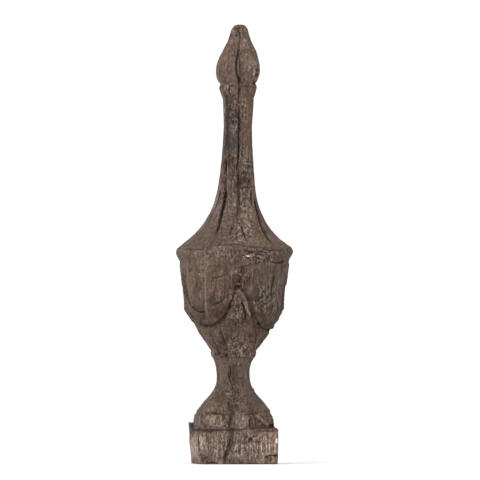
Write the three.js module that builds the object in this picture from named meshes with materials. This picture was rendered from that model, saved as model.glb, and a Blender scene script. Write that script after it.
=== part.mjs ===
// A carved wooden finial in one piece: a square plinth, a waisted foot, an urn hung with swags,
// and a tall spire that ends in a bud. Millimetres, +Z up, the front faces -Y, and the origin is
// at the centre of the underside.
import * as THREE from 'three';
import { mergeVertices } from 'three/addons/utils/BufferGeometryUtils.js';

// Heights of the mouldings, stacked from the ground up.
const PLINTH_HEIGHT = 70;
const FOOT_BAND_HEIGHT = 27;
const FOOT_OGEE_HEIGHT = 77;
const NECK_HEIGHT = 27;
const NECK_BEAD_HEIGHT = 16;
const URN_CONE_HEIGHT = 80;
const URN_WALL_HEIGHT = 92;
const RIM_HEIGHT = 24;
const FLARE_HEIGHT = 130;
const STEM_HEIGHT = 155;
const BUD_BEAD_HEIGHT = 29;
const BUD_HEIGHT = 113;

// Widths across the flats of the square section.
const PLINTH_BASE_WIDTH = 148;
const PLINTH_WIDTH = 154;
const FOOT_WIDTH = 142;
const FOOT_BAND_TOP_WIDTH = 136;
const NECK_WIDTH = 59;
const NECK_BEAD_WIDTH = 79;
const URN_SHOULDER_WIDTH = 175;
const URN_TOP_WIDTH = 195;
const RIM_WIDTH = 208;
const RIM_TOP_WIDTH = 203;
const STEM_FOOT_WIDTH = 65;
const STEM_WAIST_WIDTH = 51;
const STEM_TOP_WIDTH = 55;
const BUD_BEAD_WIDTH = 68;
const BUD_NOTCH_WIDTH = 62;
const BUD_WIDTH = 79;

// The corners are cut off flat. The cut is a share of the half width, so it follows the taper.
const PLINTH_CHAMFER = 3;
const FOOT_CHAMFER_SHARE = 0.18;
const UPPER_CHAMFER_SHARE = 0.31;

// The spire has warped towards +X by this much at its tip.
const TIP_LEAN = 11;

// Carving, as depths and sizes on the faces.
const NECK_BEAD_BULGE = 2;
const RIM_COVE_DEPTH = 3;
const EAR_HEIGHT = 8;
const PANEL_GROOVE_DEPTH = 3;
const PANEL_GROOVE_HEIGHT = 4;
const FOOT_GROOVE_DEPTH = 4;
const FOOT_GROOVE_HALF_WIDTH = 7;
const FOOT_GROOVE_END_HEIGHT = 2;
const SPIRE_GROOVE_DEPTH = 4;
const SPIRE_GROOVE_HALF_WIDTH = 3;
const SPIRE_GROOVE_END_HEIGHT = 20;
const SWAG_THICKNESS = 5;
const SWAG_UNDERCUT = 3.5;
const SWAG_DEPTH = 33;
const SWAG_BELOW_SHOULDER = 31;
const SWAG_RISE = 95;
const KNOT_THICKNESS = 9;
const KNOT_WIDTH = 44;
const KNOT_HEIGHT = 46;
const KNOT_BELOW_WALL_TOP = 33;
const TAIL_THICKNESS = 6;
const TAIL_LENGTH = 58;
const TAIL_WIDTH = 52;
const CONE_FLUTE_DEPTH = 2.5;
const CONE_FLUTES_PER_FACE = 4;
const TIP_NOTCH_DEPTH = 4;
const TIP_NOTCH_HALF_WIDTH = 2.5;

const plinthTop = PLINTH_HEIGHT;
const footBandTop = plinthTop + FOOT_BAND_HEIGHT;
const footTop = footBandTop + FOOT_OGEE_HEIGHT;
const neckTop = footTop + NECK_HEIGHT;
const neckBeadTop = neckTop + NECK_BEAD_HEIGHT;
const shoulder = neckBeadTop + URN_CONE_HEIGHT;
const wallTop = shoulder + URN_WALL_HEIGHT;
const rimTop = wallTop + RIM_HEIGHT;
const flareTop = rimTop + FLARE_HEIGHT;
const stemTop = flareTop + STEM_HEIGHT;
const budBeadTop = stemTop + BUD_BEAD_HEIGHT;
const tip = budBeadTop + BUD_HEIGHT;

const { lerp, smoothstep } = THREE.MathUtils;
const bump = (x) => Math.max(0, 1 - x * x);

// A point of the outline: half the width across the flats, and the height.
const at = (halfWidth, z) => new THREE.Vector2(halfWidth, z);
const straight = (from, to) => new THREE.LineCurve(from, to);
const bend = (from, by, to) => new THREE.QuadraticBezierCurve(from, by, to);
const sweep = (from, by, and, to) => new THREE.CubicBezierCurve(from, by, and, to);

function footOutline() {
  const bandTop = at(FOOT_BAND_TOP_WIDTH / 2, footBandTop);
  const neck = at(NECK_WIDTH / 2, footTop);
  const turn = at(lerp(neck.x, bandTop.x, 0.51), lerp(bandTop.y, neck.y, 0.36));
  const aboveBand = at(lerp(neck.x, bandTop.x, 0.84), lerp(bandTop.y, neck.y, 0.15));
  const belowNeck = at(neck.x, lerp(bandTop.y, neck.y, 0.62));
  return [
    ...straight(at(FOOT_WIDTH / 2, plinthTop), bandTop).getPoints(2),
    ...bend(bandTop, aboveBand, turn).getPoints(3),
    ...bend(turn, belowNeck, neck).getPoints(3),
  ];
}

function neckOutline() {
  const beadFoot = at(lerp(NECK_WIDTH, NECK_BEAD_WIDTH, 0.55) / 2, neckTop);
  const beadTop = at(NECK_BEAD_WIDTH / 2, neckBeadTop);
  const hollow = at(NECK_WIDTH / 2, lerp(footTop, neckTop, 0.6));
  const bulge = at(NECK_BEAD_WIDTH / 2 + NECK_BEAD_BULGE, lerp(neckTop, neckBeadTop, 0.45));
  return [
    ...bend(at(NECK_WIDTH / 2, footTop), hollow, beadFoot).getPoints(2),
    ...bend(beadFoot, bulge, beadTop).getPoints(3),
  ];
}

function urnOutline() {
  const coneFoot = at(NECK_BEAD_WIDTH / 2, neckBeadTop);
  const coneTop = at(URN_SHOULDER_WIDTH / 2, shoulder);
  const belly = at(lerp(coneFoot.x, coneTop.x, 0.56), lerp(neckBeadTop, shoulder, 0.46));
  const wall = at(URN_TOP_WIDTH / 2, wallTop);
  return [
    ...bend(coneFoot, belly, coneTop).getPoints(11),
    ...straight(coneTop, wall).getPoints(13),
  ];
}

function rimOutline() {
  const widest = at(RIM_WIDTH / 2, lerp(wallTop, rimTop, 0.6));
  const cove = at(widest.x - RIM_COVE_DEPTH, lerp(wallTop, rimTop, 0.3));
  const edge = at(RIM_WIDTH / 2, lerp(wallTop, rimTop, 0.9));
  return [
    ...bend(at(URN_TOP_WIDTH / 2, wallTop), cove, widest).getPoints(2),
    ...bend(widest, edge, at(RIM_TOP_WIDTH / 2, rimTop)).getPoints(3),
  ];
}

function spireOutline() {
  const rimEdge = at(RIM_TOP_WIDTH / 2, rimTop);
  const stemFoot = at(STEM_FOOT_WIDTH / 2, flareTop);
  const overRim = at(lerp(stemFoot.x, rimEdge.x, 0.44), lerp(rimTop, flareTop, 0.25));
  const underStem = at(lerp(stemFoot.x, rimEdge.x, 0.07), lerp(rimTop, flareTop, 0.45));
  const waist = at(STEM_WAIST_WIDTH / 2, lerp(flareTop, stemTop, 0.66));
  const towardsWaist = at(lerp(waist.x, stemFoot.x, 0.3), lerp(flareTop, waist.y, 0.5));
  return [
    ...sweep(rimEdge, overRim, underStem, stemFoot).getPoints(8),
    ...bend(stemFoot, towardsWaist, waist).getPoints(2),
    at(STEM_TOP_WIDTH / 2, stemTop),
  ];
}

function budOutline() {
  const bead = at(BUD_BEAD_WIDTH / 2, lerp(stemTop, budBeadTop, 0.75));
  const notch = at(BUD_NOTCH_WIDTH / 2, budBeadTop);
  const widest = at(BUD_WIDTH / 2, lerp(budBeadTop, tip, 0.25));
  const nose = at(BUD_WIDTH * 0.235, lerp(budBeadTop, tip, 0.82));
  return [
    at(lerp(STEM_TOP_WIDTH, BUD_BEAD_WIDTH, 0.45) / 2, lerp(stemTop, budBeadTop, 0.3)),
    bead,
    notch,
    ...bend(notch, at(widest.x, lerp(budBeadTop, tip, 0.08)), widest).getPoints(3),
    ...bend(widest, at(widest.x, lerp(budBeadTop, tip, 0.44)), nose).getPoints(3),
    at(BUD_WIDTH * 0.19, lerp(budBeadTop, tip, 0.92)),
    at(BUD_WIDTH * 0.12, lerp(budBeadTop, tip, 0.985)),
    at(BUD_WIDTH * 0.06, tip),
    at(0, tip),
  ];
}

// The whole outline from the middle of the underside to the tip, without doubled points.
function outline() {
  const points = [
    at(0, 0),
    at(PLINTH_BASE_WIDTH / 2, 0),
    at(PLINTH_WIDTH / 2, plinthTop * 0.65),
    at(PLINTH_WIDTH / 2, plinthTop),
    ...footOutline(),
    ...neckOutline(),
    ...urnOutline(),
    ...rimOutline(),
    ...spireOutline(),
    ...budOutline(),
  ];
  return points.filter((point, i) => i === 0 || point.distanceTo(points[i - 1]) > 0.01);
}

const UPWARDS = new THREE.Vector3(0, 0, 1);

// The columns of one side: along the face, closer together at its middle and its arrises, and
// then over the cut corner. Each is a place on the face or on the chamfer.
const FACE_STEPS = 14;
const CHAMFER_STEPS = 4;
const SIDES = 4;

function sideColumns() {
  const columns = [];
  for (let i = 0; i < FACE_STEPS; i++) {
    const way = (2 * i) / FACE_STEPS - 1;
    columns.push({ face: way - 0.03 * Math.sin(2 * Math.PI * way), chamfer: 0 });
  }
  for (let i = 0; i < CHAMFER_STEPS; i++) columns.push({ face: 1, chamfer: i / CHAMFER_STEPS });
  return columns;
}

function chamferAt(halfWidth, z) {
  const share = lerp(FOOT_CHAMFER_SHARE, UPPER_CHAMFER_SHARE, smoothstep(z, footBandTop, footTop));
  return z <= plinthTop && halfWidth > FOOT_WIDTH / 2 ? PLINTH_CHAMFER : share * halfWidth;
}

// A column's place in the section: across is the way along the side, out is the way outwards,
// and fromMiddle is the distance from the middle of the nearest face, measured along the wood.
function sectionPoint(column, halfWidth, z) {
  const chamfer = chamferAt(halfWidth, z);
  const flat = halfWidth - chamfer;
  const walked = flat * Math.abs(column.face) + Math.SQRT2 * chamfer * column.chamfer;
  const corner = flat + Math.SQRT1_2 * chamfer;
  return {
    across: flat * column.face + chamfer * column.chamfer,
    out: halfWidth - chamfer * column.chamfer,
    fromMiddle: walked > corner ? 2 * corner - walked : walked,
    flat,
    corner,
  };
}

// A cloth swag hangs from knot to knot over each corner. Its lower edge drops steeply beside the
// knot and is level under the corner.
function aboveSwagEdge(place, z) {
  const lowerEdge = shoulder - SWAG_BELOW_SHOULDER + SWAG_RISE * (1 - place.fromMiddle / place.corner) ** 5;
  return z - lowerEdge;
}

function swag(place, z) {
  const depth = SWAG_DEPTH * lerp(0.6, 1, smoothstep(place.fromMiddle / place.corner, 0, 0.5));
  const up = aboveSwagEdge(place, z) / depth;
  if (up < 0 || up > 1) return 0;
  const folds = 0.75 + 0.25 * Math.cos(4 * Math.PI * up);
  return SWAG_THICKNESS * folds * smoothstep(up, 0, 0.1) * smoothstep(1 - up, 0, 0.2);
}

function swagUndercut(place, z) {
  return -SWAG_UNDERCUT * bump(aboveSwagEdge(place, z) / (2 * SWAG_UNDERCUT) + 1);
}

function knot({ fromMiddle }, z) {
  const height = z - (wallTop - KNOT_BELOW_WALL_TOP);
  const reach = Math.hypot((2 * fromMiddle) / KNOT_WIDTH, (2 * height) / KNOT_HEIGHT);
  return KNOT_THICKNESS * Math.sqrt(bump(reach));
}

// The cloth's end hangs below the knot and widens downwards.
function tail({ fromMiddle }, z) {
  const down = (wallTop - KNOT_BELOW_WALL_TOP - KNOT_HEIGHT / 2 - z) / TAIL_LENGTH;
  if (down < 0 || down > 1) return 0;
  const edge = lerp(0.25, 1, down) * (TAIL_WIDTH / 2) - fromMiddle;
  return TAIL_THICKNESS * smoothstep(edge, -2, 3) * smoothstep(1 - down, 0, 0.1);
}

function coneFlutes(place, z) {
  const up = (z - neckBeadTop) / URN_CONE_HEIGHT;
  if (up < 0 || up > 1) return 0;
  const wave = Math.cos((Math.PI * CONE_FLUTES_PER_FACE * place.across) / place.flat);
  return -CONE_FLUTE_DEPTH * (0.5 - 0.5 * wave) * bump(2 * up - 1);
}

// Grooves run up the spire, along the middle of each face and along each arris.
function spireGrooves(place, z) {
  const fade = smoothstep(z, rimTop + 0.1 * FLARE_HEIGHT, rimTop + 0.4 * FLARE_HEIGHT);
  const middle = bump(place.fromMiddle / SPIRE_GROOVE_HALF_WIDTH);
  const arris = bump((place.fromMiddle - place.flat) / SPIRE_GROOVE_HALF_WIDTH);
  const shallower = lerp(0.7, 0.2, smoothstep(z, flareTop, budBeadTop));
  const end = smoothstep(tip - z, 0, SPIRE_GROOVE_END_HEIGHT);
  return -SPIRE_GROOVE_DEPTH * fade * Math.max(middle, shallower * arris) * end;
}

function footGrooves(place, z) {
  const run = smoothstep(z - plinthTop, 0, FOOT_GROOVE_END_HEIGHT) * smoothstep(neckTop - z, 0, NECK_HEIGHT);
  const middle = FOOT_GROOVE_DEPTH * run * bump(place.fromMiddle / FOOT_GROOVE_HALF_WIDTH);
  const panel = PANEL_GROOVE_DEPTH * bump((z - footBandTop) / PANEL_GROOVE_HEIGHT);
  return -Math.max(middle, panel);
}

function carving(place, z) {
  const raised = Math.max(swag(place, z), knot(place, z), tail(place, z));
  const ground = raised > 0 ? raised : coneFlutes(place, z) + swagUndercut(place, z);
  return ground + spireGrooves(place, z) + footGrooves(place, z);
}

// The plinth's corners turn up into low ears beside the foot.
function earRise(place, halfWidth, z) {
  if (z !== plinthTop || halfWidth < FOOT_WIDTH / 2) return 0;
  return EAR_HEIGHT * smoothstep(place.fromMiddle / place.corner, 0.55, 0.9);
}

function lean(z) {
  return TIP_LEAN * Math.max(0, (z - footTop) / (tip - footTop)) ** 1.4;
}

function tipNotch(x, z) {
  return TIP_NOTCH_DEPTH * bump(x / TIP_NOTCH_HALF_WIDTH) * smoothstep(z, tip - 2 * TIP_NOTCH_DEPTH, tip);
}

// A lathe whose columns are laid along the square section instead of a circle, and then carved.
function finialGeometry() {
  const columns = sideColumns();
  const profile = outline();
  const geometry = new THREE.LatheGeometry(profile, SIDES * columns.length);
  const position = geometry.getAttribute('position');
  const vertex = new THREE.Vector3();
  for (let i = 0; i <= SIDES * columns.length; i++) {
    const column = columns[i % columns.length];
    const quarter = (Math.floor(i / columns.length) % SIDES) * (Math.PI / 2);
    profile.forEach(({ x: halfWidth, y: z }, ring) => {
      const place = sectionPoint(column, halfWidth, z);
      const grown = halfWidth > 0 ? 1 + carving(place, z) / Math.hypot(place.across, place.out) : 1;
      vertex.set(place.across * grown, -place.out * grown, z + earRise(place, halfWidth, z));
      vertex.applyAxisAngle(UPWARDS, quarter);
      vertex.z -= tipNotch(vertex.x, z);
      vertex.x += lean(z);
      position.setXYZ(i * profile.length + ring, vertex.x, vertex.y, vertex.z);
    });
  }
  geometry.deleteAttribute('normal');
  geometry.deleteAttribute('uv');
  const closed = mergeVertices(geometry, 0.001);
  closed.computeVertexNormals();
  return closed;
}

const weatheredWood = new THREE.MeshStandardMaterial({ color: 0x65594d, roughness: 0.95, metalness: 0 });

const finial = new THREE.Mesh(finialGeometry(), weatheredWood);
finial.name = 'finial';

const part = new THREE.Group();
part.add(finial);

export default part;
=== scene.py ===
"""A weathered wooden finial: square plinth, waisted foot, urn hung with cloth swags, spire and bud.

It is turned as a round staff, squared, and then carved and worn. Lengths are in millimetres here,
and the finished mesh is in metres. +Z is up, and the front faces -Y.
"""

import math
from itertools import product

import bmesh
import bpy
import numpy as np
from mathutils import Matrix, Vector


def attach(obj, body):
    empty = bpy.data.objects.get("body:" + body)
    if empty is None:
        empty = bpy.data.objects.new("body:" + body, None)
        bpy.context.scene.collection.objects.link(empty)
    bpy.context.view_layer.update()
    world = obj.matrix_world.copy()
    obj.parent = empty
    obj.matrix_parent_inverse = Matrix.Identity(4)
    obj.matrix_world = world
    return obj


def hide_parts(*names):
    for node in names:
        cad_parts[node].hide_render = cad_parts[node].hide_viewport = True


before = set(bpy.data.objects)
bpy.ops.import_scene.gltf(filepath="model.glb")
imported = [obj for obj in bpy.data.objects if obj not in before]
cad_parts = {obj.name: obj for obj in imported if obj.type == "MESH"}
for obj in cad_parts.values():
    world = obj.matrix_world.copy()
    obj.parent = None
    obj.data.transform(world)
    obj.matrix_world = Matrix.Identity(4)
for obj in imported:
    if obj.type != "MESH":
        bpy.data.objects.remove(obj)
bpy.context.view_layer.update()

MM = 0.001

# Sizes, as in the solid: heights, widths, cut corners and the lean of the tip.
PLINTH_TOP = 70
FOOT_BAND_TOP = PLINTH_TOP + 27
FOOT_TOP = FOOT_BAND_TOP + 77
NECK_TOP = FOOT_TOP + 27
NECK_BEAD_TOP = NECK_TOP + 16
SHOULDER = NECK_BEAD_TOP + 80
WALL_TOP = SHOULDER + 92
RIM_TOP = WALL_TOP + 24
FLARE_TOP = RIM_TOP + 130
STEM_TOP = FLARE_TOP + 155
BUD_BEAD_TOP = STEM_TOP + 29
TIP = BUD_BEAD_TOP + 113

PLINTH_BASE_WIDTH = 148
PLINTH_WIDTH = 154
FOOT_WIDTH = 142
FOOT_BAND_TOP_WIDTH = 136
NECK_WIDTH = 59
NECK_BEAD_WIDTH = 79
URN_SHOULDER_WIDTH = 175
URN_TOP_WIDTH = 195
RIM_WIDTH = 208
RIM_TOP_WIDTH = 203
STEM_FOOT_WIDTH = 65
STEM_WAIST_WIDTH = 51
STEM_TOP_WIDTH = 55
BUD_BEAD_WIDTH = 68
BUD_NOTCH_WIDTH = 62
BUD_WIDTH = 79

PLINTH_CHAMFER = 3
FOOT_CHAMFER_SHARE = 0.18
UPPER_CHAMFER_SHARE = 0.31
TIP_LEAN = 11

NECK_BEAD_BULGE = 2
RIM_COVE_DEPTH = 3

# The least length to divide by, and the least distance between two points of the outline.
TINY = 1e-6
SAME_PLACE = 0.01


def mix(a, b, share):
    return a + (b - a) * share


def smooth(value, low, high):
    """0 below low, 1 above high, and an easy curve between them."""
    way = np.clip((value - low) / (high - low), 0, 1)
    return way * way * (3 - 2 * way)


def bump(value):
    """1 at nought, falling to 0 at one either side."""
    return np.maximum(0, 1 - value * value)


def bend(*guides, steps=30):
    """Points along one smooth bend, drawn towards its middle guides."""
    way = np.linspace(0, 1, steps + 1)[:, None]
    rows = [np.array(guide, float) * np.ones_like(way) for guide in guides]
    while len(rows) > 1:
        rows = [mix(low, high, way) for low, high in zip(rows, rows[1:])]
    return [tuple(point) for point in rows[0]]


def plinth_outline():
    edge = PLINTH_WIDTH / 2
    return [(0, 0), (PLINTH_BASE_WIDTH / 2, 0), (edge, 0.65 * PLINTH_TOP), (edge, PLINTH_TOP)]


def foot_outline():
    band = (FOOT_BAND_TOP_WIDTH / 2, FOOT_BAND_TOP)
    neck = (NECK_WIDTH / 2, FOOT_TOP)
    rise = FOOT_TOP - FOOT_BAND_TOP
    above_band = (mix(neck[0], band[0], 0.84), FOOT_BAND_TOP + 0.15 * rise)
    turn = (mix(neck[0], band[0], 0.51), FOOT_BAND_TOP + 0.36 * rise)
    below_neck = (neck[0], FOOT_BAND_TOP + 0.62 * rise)
    band_face = bend((FOOT_WIDTH / 2, PLINTH_TOP), band)
    return band_face + bend(band, above_band, turn) + bend(turn, below_neck, neck)


def neck_outline():
    bead_foot = (mix(NECK_WIDTH, NECK_BEAD_WIDTH, 0.55) / 2, NECK_TOP)
    hollow = (NECK_WIDTH / 2, mix(FOOT_TOP, NECK_TOP, 0.6))
    bulge = (NECK_BEAD_WIDTH / 2 + NECK_BEAD_BULGE, mix(NECK_TOP, NECK_BEAD_TOP, 0.45))
    bead_top = (NECK_BEAD_WIDTH / 2, NECK_BEAD_TOP)
    return bend((NECK_WIDTH / 2, FOOT_TOP), hollow, bead_foot) + bend(bead_foot, bulge, bead_top)


def urn_outline():
    cone_foot = (NECK_BEAD_WIDTH / 2, NECK_BEAD_TOP)
    cone_top = (URN_SHOULDER_WIDTH / 2, SHOULDER)
    belly = (mix(cone_foot[0], cone_top[0], 0.56), mix(NECK_BEAD_TOP, SHOULDER, 0.46))
    return bend(cone_foot, belly, cone_top) + bend(cone_top, (URN_TOP_WIDTH / 2, WALL_TOP))


def rim_outline():
    widest = (RIM_WIDTH / 2, mix(WALL_TOP, RIM_TOP, 0.6))
    cove = (widest[0] - RIM_COVE_DEPTH, mix(WALL_TOP, RIM_TOP, 0.3))
    edge = (RIM_WIDTH / 2, mix(WALL_TOP, RIM_TOP, 0.9))
    top = (RIM_TOP_WIDTH / 2, RIM_TOP)
    return bend((URN_TOP_WIDTH / 2, WALL_TOP), cove, widest) + bend(widest, edge, top)


def spire_outline():
    rim = (RIM_TOP_WIDTH / 2, RIM_TOP)
    stem = (STEM_FOOT_WIDTH / 2, FLARE_TOP)
    over_rim = (mix(stem[0], rim[0], 0.44), mix(RIM_TOP, FLARE_TOP, 0.25))
    under_stem = (mix(stem[0], rim[0], 0.07), mix(RIM_TOP, FLARE_TOP, 0.45))
    waist = (STEM_WAIST_WIDTH / 2, mix(FLARE_TOP, STEM_TOP, 0.66))
    towards_waist = (mix(waist[0], stem[0], 0.3), mix(FLARE_TOP, waist[1], 0.5))
    top = (STEM_TOP_WIDTH / 2, STEM_TOP)
    return bend(rim, over_rim, under_stem, stem) + bend(stem, towards_waist, waist) + bend(waist, top)


def bud_outline():
    rise = TIP - BUD_BEAD_TOP
    bead_height = BUD_BEAD_TOP - STEM_TOP
    below_bead = (mix(STEM_TOP_WIDTH, BUD_BEAD_WIDTH, 0.45) / 2, STEM_TOP + 0.3 * bead_height)
    bead = (BUD_BEAD_WIDTH / 2, STEM_TOP + 0.75 * bead_height)
    notch = (BUD_NOTCH_WIDTH / 2, BUD_BEAD_TOP)
    widest = (BUD_WIDTH / 2, BUD_BEAD_TOP + 0.25 * rise)
    low_side = (widest[0], BUD_BEAD_TOP + 0.08 * rise)
    high_side = (widest[0], BUD_BEAD_TOP + 0.44 * rise)
    nose = (BUD_WIDTH * 0.235, BUD_BEAD_TOP + 0.82 * rise)
    cap = [
        (BUD_WIDTH * 0.19, BUD_BEAD_TOP + 0.92 * rise),
        (BUD_WIDTH * 0.12, BUD_BEAD_TOP + 0.985 * rise),
        (BUD_WIDTH * 0.06, TIP),
        (0, TIP),
    ]
    return [below_bead, bead] + bend(notch, low_side, widest) + bend(widest, high_side, nose) + cap


# How far apart the rings are, measured along the outline.
RING_GAP = 1.7


def outline():
    """The half width and height of every ring, from the middle of the underside to the tip."""
    points = plinth_outline() + foot_outline() + neck_outline() + urn_outline()
    points += rim_outline() + spire_outline() + bud_outline()
    apart = [point for before, point in zip(points, points[1:]) if math.dist(before, point) > SAME_PLACE]
    half_widths, heights = np.array(points[:1] + apart).T
    walked = np.concatenate([[0], np.cumsum(np.hypot(np.diff(half_widths), np.diff(heights)))])
    stations = np.linspace(0, walked[-1], int(walked[-1] / RING_GAP))
    return zip(np.interp(stations, walked, half_widths), np.interp(stations, walked, heights))


# Cells each way before the noise repeats.
LATTICE = 32


def noise(places, cell, seed):
    """Soft random values from -1 to 1 that change over about one cell's length each way."""
    lattice = np.random.default_rng(seed).random((LATTICE, LATTICE, LATTICE))
    steps = places / np.array(cell, float)
    corner = np.floor(steps).astype(int)
    part = steps - corner
    part = part * part * (3 - 2 * part)
    total = np.zeros(len(places))
    for ends in product((0, 1), repeat=3):
        weight = np.prod([part[:, i] if end else 1 - part[:, i] for i, end in enumerate(ends)], axis=0)
        total += weight * lattice[tuple((corner[:, i] + end) % LATTICE for i, end in enumerate(ends))]
    return 2 * total - 1


# Sides are counted front, right, back, left, and each corner has the number of the side before it:
# front right, back right, back left, front left.
SIDES = 4
FRONT = 0
BACK = 2
LEFT = 3
SPIN_STEPS = 72
RING_CUTS = 7
# How near two points are that are welded, and how evenly an edge runs that lies along a ring.
WELDED = 1e-4
ON_ONE_RING = 1e-3


def turned_staff():
    """The outline spun into a closed round body, with its rings divided finely."""
    staff = bmesh.new()
    chain = [staff.verts.new((half_width, 0, height)) for half_width, height in outline()]
    lines = [staff.edges.new(pair) for pair in zip(chain, chain[1:])]
    bmesh.ops.spin(staff, geom=chain + lines, cent=(0, 0, 0), axis=(0, 0, 1), angle=2 * math.pi,
                   steps=SPIN_STEPS, use_merge=True, use_duplicate=False)
    bmesh.ops.remove_doubles(staff, verts=staff.verts[:], dist=WELDED)

    def around(edge):
        low, high = (vert.co for vert in edge.verts)
        return max(abs(low.z - high.z), abs(low.xy.length - high.xy.length)) < ON_ONE_RING

    rings = [edge for edge in staff.edges if around(edge)]
    bmesh.ops.subdivide_edges(staff, edges=rings, cuts=RING_CUTS, use_grid_fill=False)
    bmesh.ops.recalc_face_normals(staff, faces=staff.faces[:])
    return staff


# The share of each quarter turn that the face takes, where the cut corner takes the rest.
FACE_SHARE = 0.77


def chamfer_at(half_width, z):
    share = mix(FOOT_CHAMFER_SHARE, UPPER_CHAMFER_SHARE, smooth(z, FOOT_BAND_TOP, FOOT_TOP))
    plinth = (z <= PLINTH_TOP) & (half_width > FOOT_WIDTH / 2 + SAME_PLACE)
    return np.where(plinth, np.minimum(PLINTH_CHAMFER, half_width / 2), share * half_width)


def squared(half_width, z, turn):
    """Where each point of the round staff goes on the square section with cut corners."""
    quarter = (turn / (math.pi / 2) + 0.5 * FACE_SHARE) % SIDES
    side = np.floor(quarter).astype(int) % SIDES
    way = quarter - np.floor(quarter)
    face = np.clip(2 * way / FACE_SHARE - 1, -1, 1)
    corner_way = np.clip((way - FACE_SHARE) / (1 - FACE_SHARE), 0, 1)
    chamfer = chamfer_at(half_width, z)
    flat = half_width - chamfer
    walked = flat * np.abs(face) + math.sqrt(2) * chamfer * corner_way
    corner = flat + math.sqrt(0.5) * chamfer
    return {
        "side": side,
        "nearest_corner": np.where((corner_way > 0) | (face > 0), side, (side - 1) % SIDES),
        "on_chamfer": corner_way > 0,
        "across": flat * face + chamfer * corner_way,
        "out": half_width - chamfer * corner_way,
        "from_middle": np.where(walked > corner, 2 * corner - walked, walked),
        "flat": np.maximum(flat, TINY),
        "corner": np.maximum(corner, TINY),
    }


# The cloth by corner: its thickness there and beside the knot, and how dark the painted shade under its hem
# is.
SWAG_THICKNESSES = (3.6, 4.6, 1.6, 4.6)
BESIDE_KNOT_THICKNESSES = (2.0, 4.6, 4.6, 4.0)
HEM_SHADES = (0.15, 0.7, 0.7, 0.35)
# The cut under a full thickness of cloth: its depth, how far below the edge, and half its height.
FULL_THICKNESS = 4.6
SWAG_UNDERCUT = 3.2
UNDERCUT_BELOW = 3
UNDERCUT_REACH = 5
CLOTH_EDGE = -0.6
SWAG_DEPTH = 34
SWAG_BELOW_SHOULDER = 30
SWAG_RISE = 95
# How much lower the cloth hangs, by corner.
SWAG_DROOPS = (10, 4, -4, 0)
# The knots and the tails under them, the knots' thickness by side.
KNOT_THICKNESSES = (4.6, 2.2, 4.6, 2.2)
KNOT_WIDTH = 44
KNOT_HEIGHT = 52
KNOT_MIDDLE = WALL_TOP - 33
TAIL_THICKNESS = 6
TAIL_LENGTH = 58
TAIL_WIDTH = 52


def above_swag_edge(place, z):
    """Height above the cloth's lower edge, which is steep beside the knot and level at the corner."""
    way = place["from_middle"] / place["corner"]
    droop = np.array(SWAG_DROOPS)[place["nearest_corner"]] * smooth(way, 0.3, 0.62)
    return z - (SHOULDER - SWAG_BELOW_SHOULDER - droop + SWAG_RISE * (1 - way) ** 4)


def swags(place, z):
    """Cloth hanging from knot to knot over each corner, in two folds, with a sharp cut under it."""
    way = place["from_middle"] / place["corner"]
    above = above_swag_edge(place, z)
    up = above / (SWAG_DEPTH * mix(0.6, 1, smooth(way, 0, 0.5)))
    folds = 0.66 + 0.34 * np.cos(4 * np.pi * up)
    at_corner = np.array(SWAG_THICKNESSES)[place["nearest_corner"]]
    at_knot = np.array(BESIDE_KNOT_THICKNESSES)[place["nearest_corner"]]
    thickness = mix(at_knot, at_corner, smooth(way, 0.35, 0.75))
    cloth = thickness * folds * smooth(above, CLOTH_EDGE, 1.2) * smooth(1 - up, 0, 0.25)
    undercut = -SWAG_UNDERCUT * thickness / FULL_THICKNESS * bump((above + UNDERCUT_BELOW) / UNDERCUT_REACH)
    return np.where((above > CLOTH_EDGE) & (up < 1), cloth, 0), undercut


def knots(place, z):
    reach = np.hypot(2 * place["from_middle"] / KNOT_WIDTH, 2 * (z - KNOT_MIDDLE) / KNOT_HEIGHT)
    return np.array(KNOT_THICKNESSES)[place["side"]] * np.sqrt(bump(reach * reach))


def tails(place, z):
    down = (KNOT_MIDDLE - KNOT_HEIGHT / 2 - z) / TAIL_LENGTH
    edge = mix(0.25, 1, down) * (TAIL_WIDTH / 2) - place["from_middle"]
    tail = TAIL_THICKNESS * smooth(edge, -2, 3) * smooth(1 - down, 0, 0.1)
    return np.where((down > 0) & (down < 1), tail, 0)


# The gathered cloth over each corner, above its swag: its thickness by corner, foot and top.
GATHER_THICKNESSES = (2.6, 1.0, 1.4, 0.4)
GATHER_FOOT = WALL_TOP - 49
GATHER_TOP = WALL_TOP - 3


def gathers(place, z):
    thickness = np.array(GATHER_THICKNESSES)[place["nearest_corner"]]
    along = smooth(z, GATHER_FOOT - 1, GATHER_FOOT + 2) * smooth(GATHER_TOP - z, 0, 8)
    return thickness * along * smooth(place["from_middle"] / place["corner"], 0.5, 0.85)


CONE_FLUTES_PER_FACE = 4
CONE_FLUTE_DEPTH = 2.5


def cone_flutes(place, z):
    up = (z - NECK_BEAD_TOP) / (SHOULDER - NECK_BEAD_TOP)
    wave = np.cos(CONE_FLUTES_PER_FACE * np.pi * place["across"] / place["flat"])
    return np.where((up > 0) & (up < 1), -CONE_FLUTE_DEPTH * (0.5 - 0.5 * wave) * bump(2 * up - 1), 0)


SPIRE_GROOVE_DEPTH = 3
SPIRE_GROOVE_HALF_WIDTH = 3
SPIRE_GROOVE_END_HEIGHT = 20
# The depth of the grooves along the arrises, as shares of the middle groove's: on the flare and on the bud.
FLARE_ARRIS_SHARE = 0.7
BUD_ARRIS_SHARE = 0.2


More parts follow.
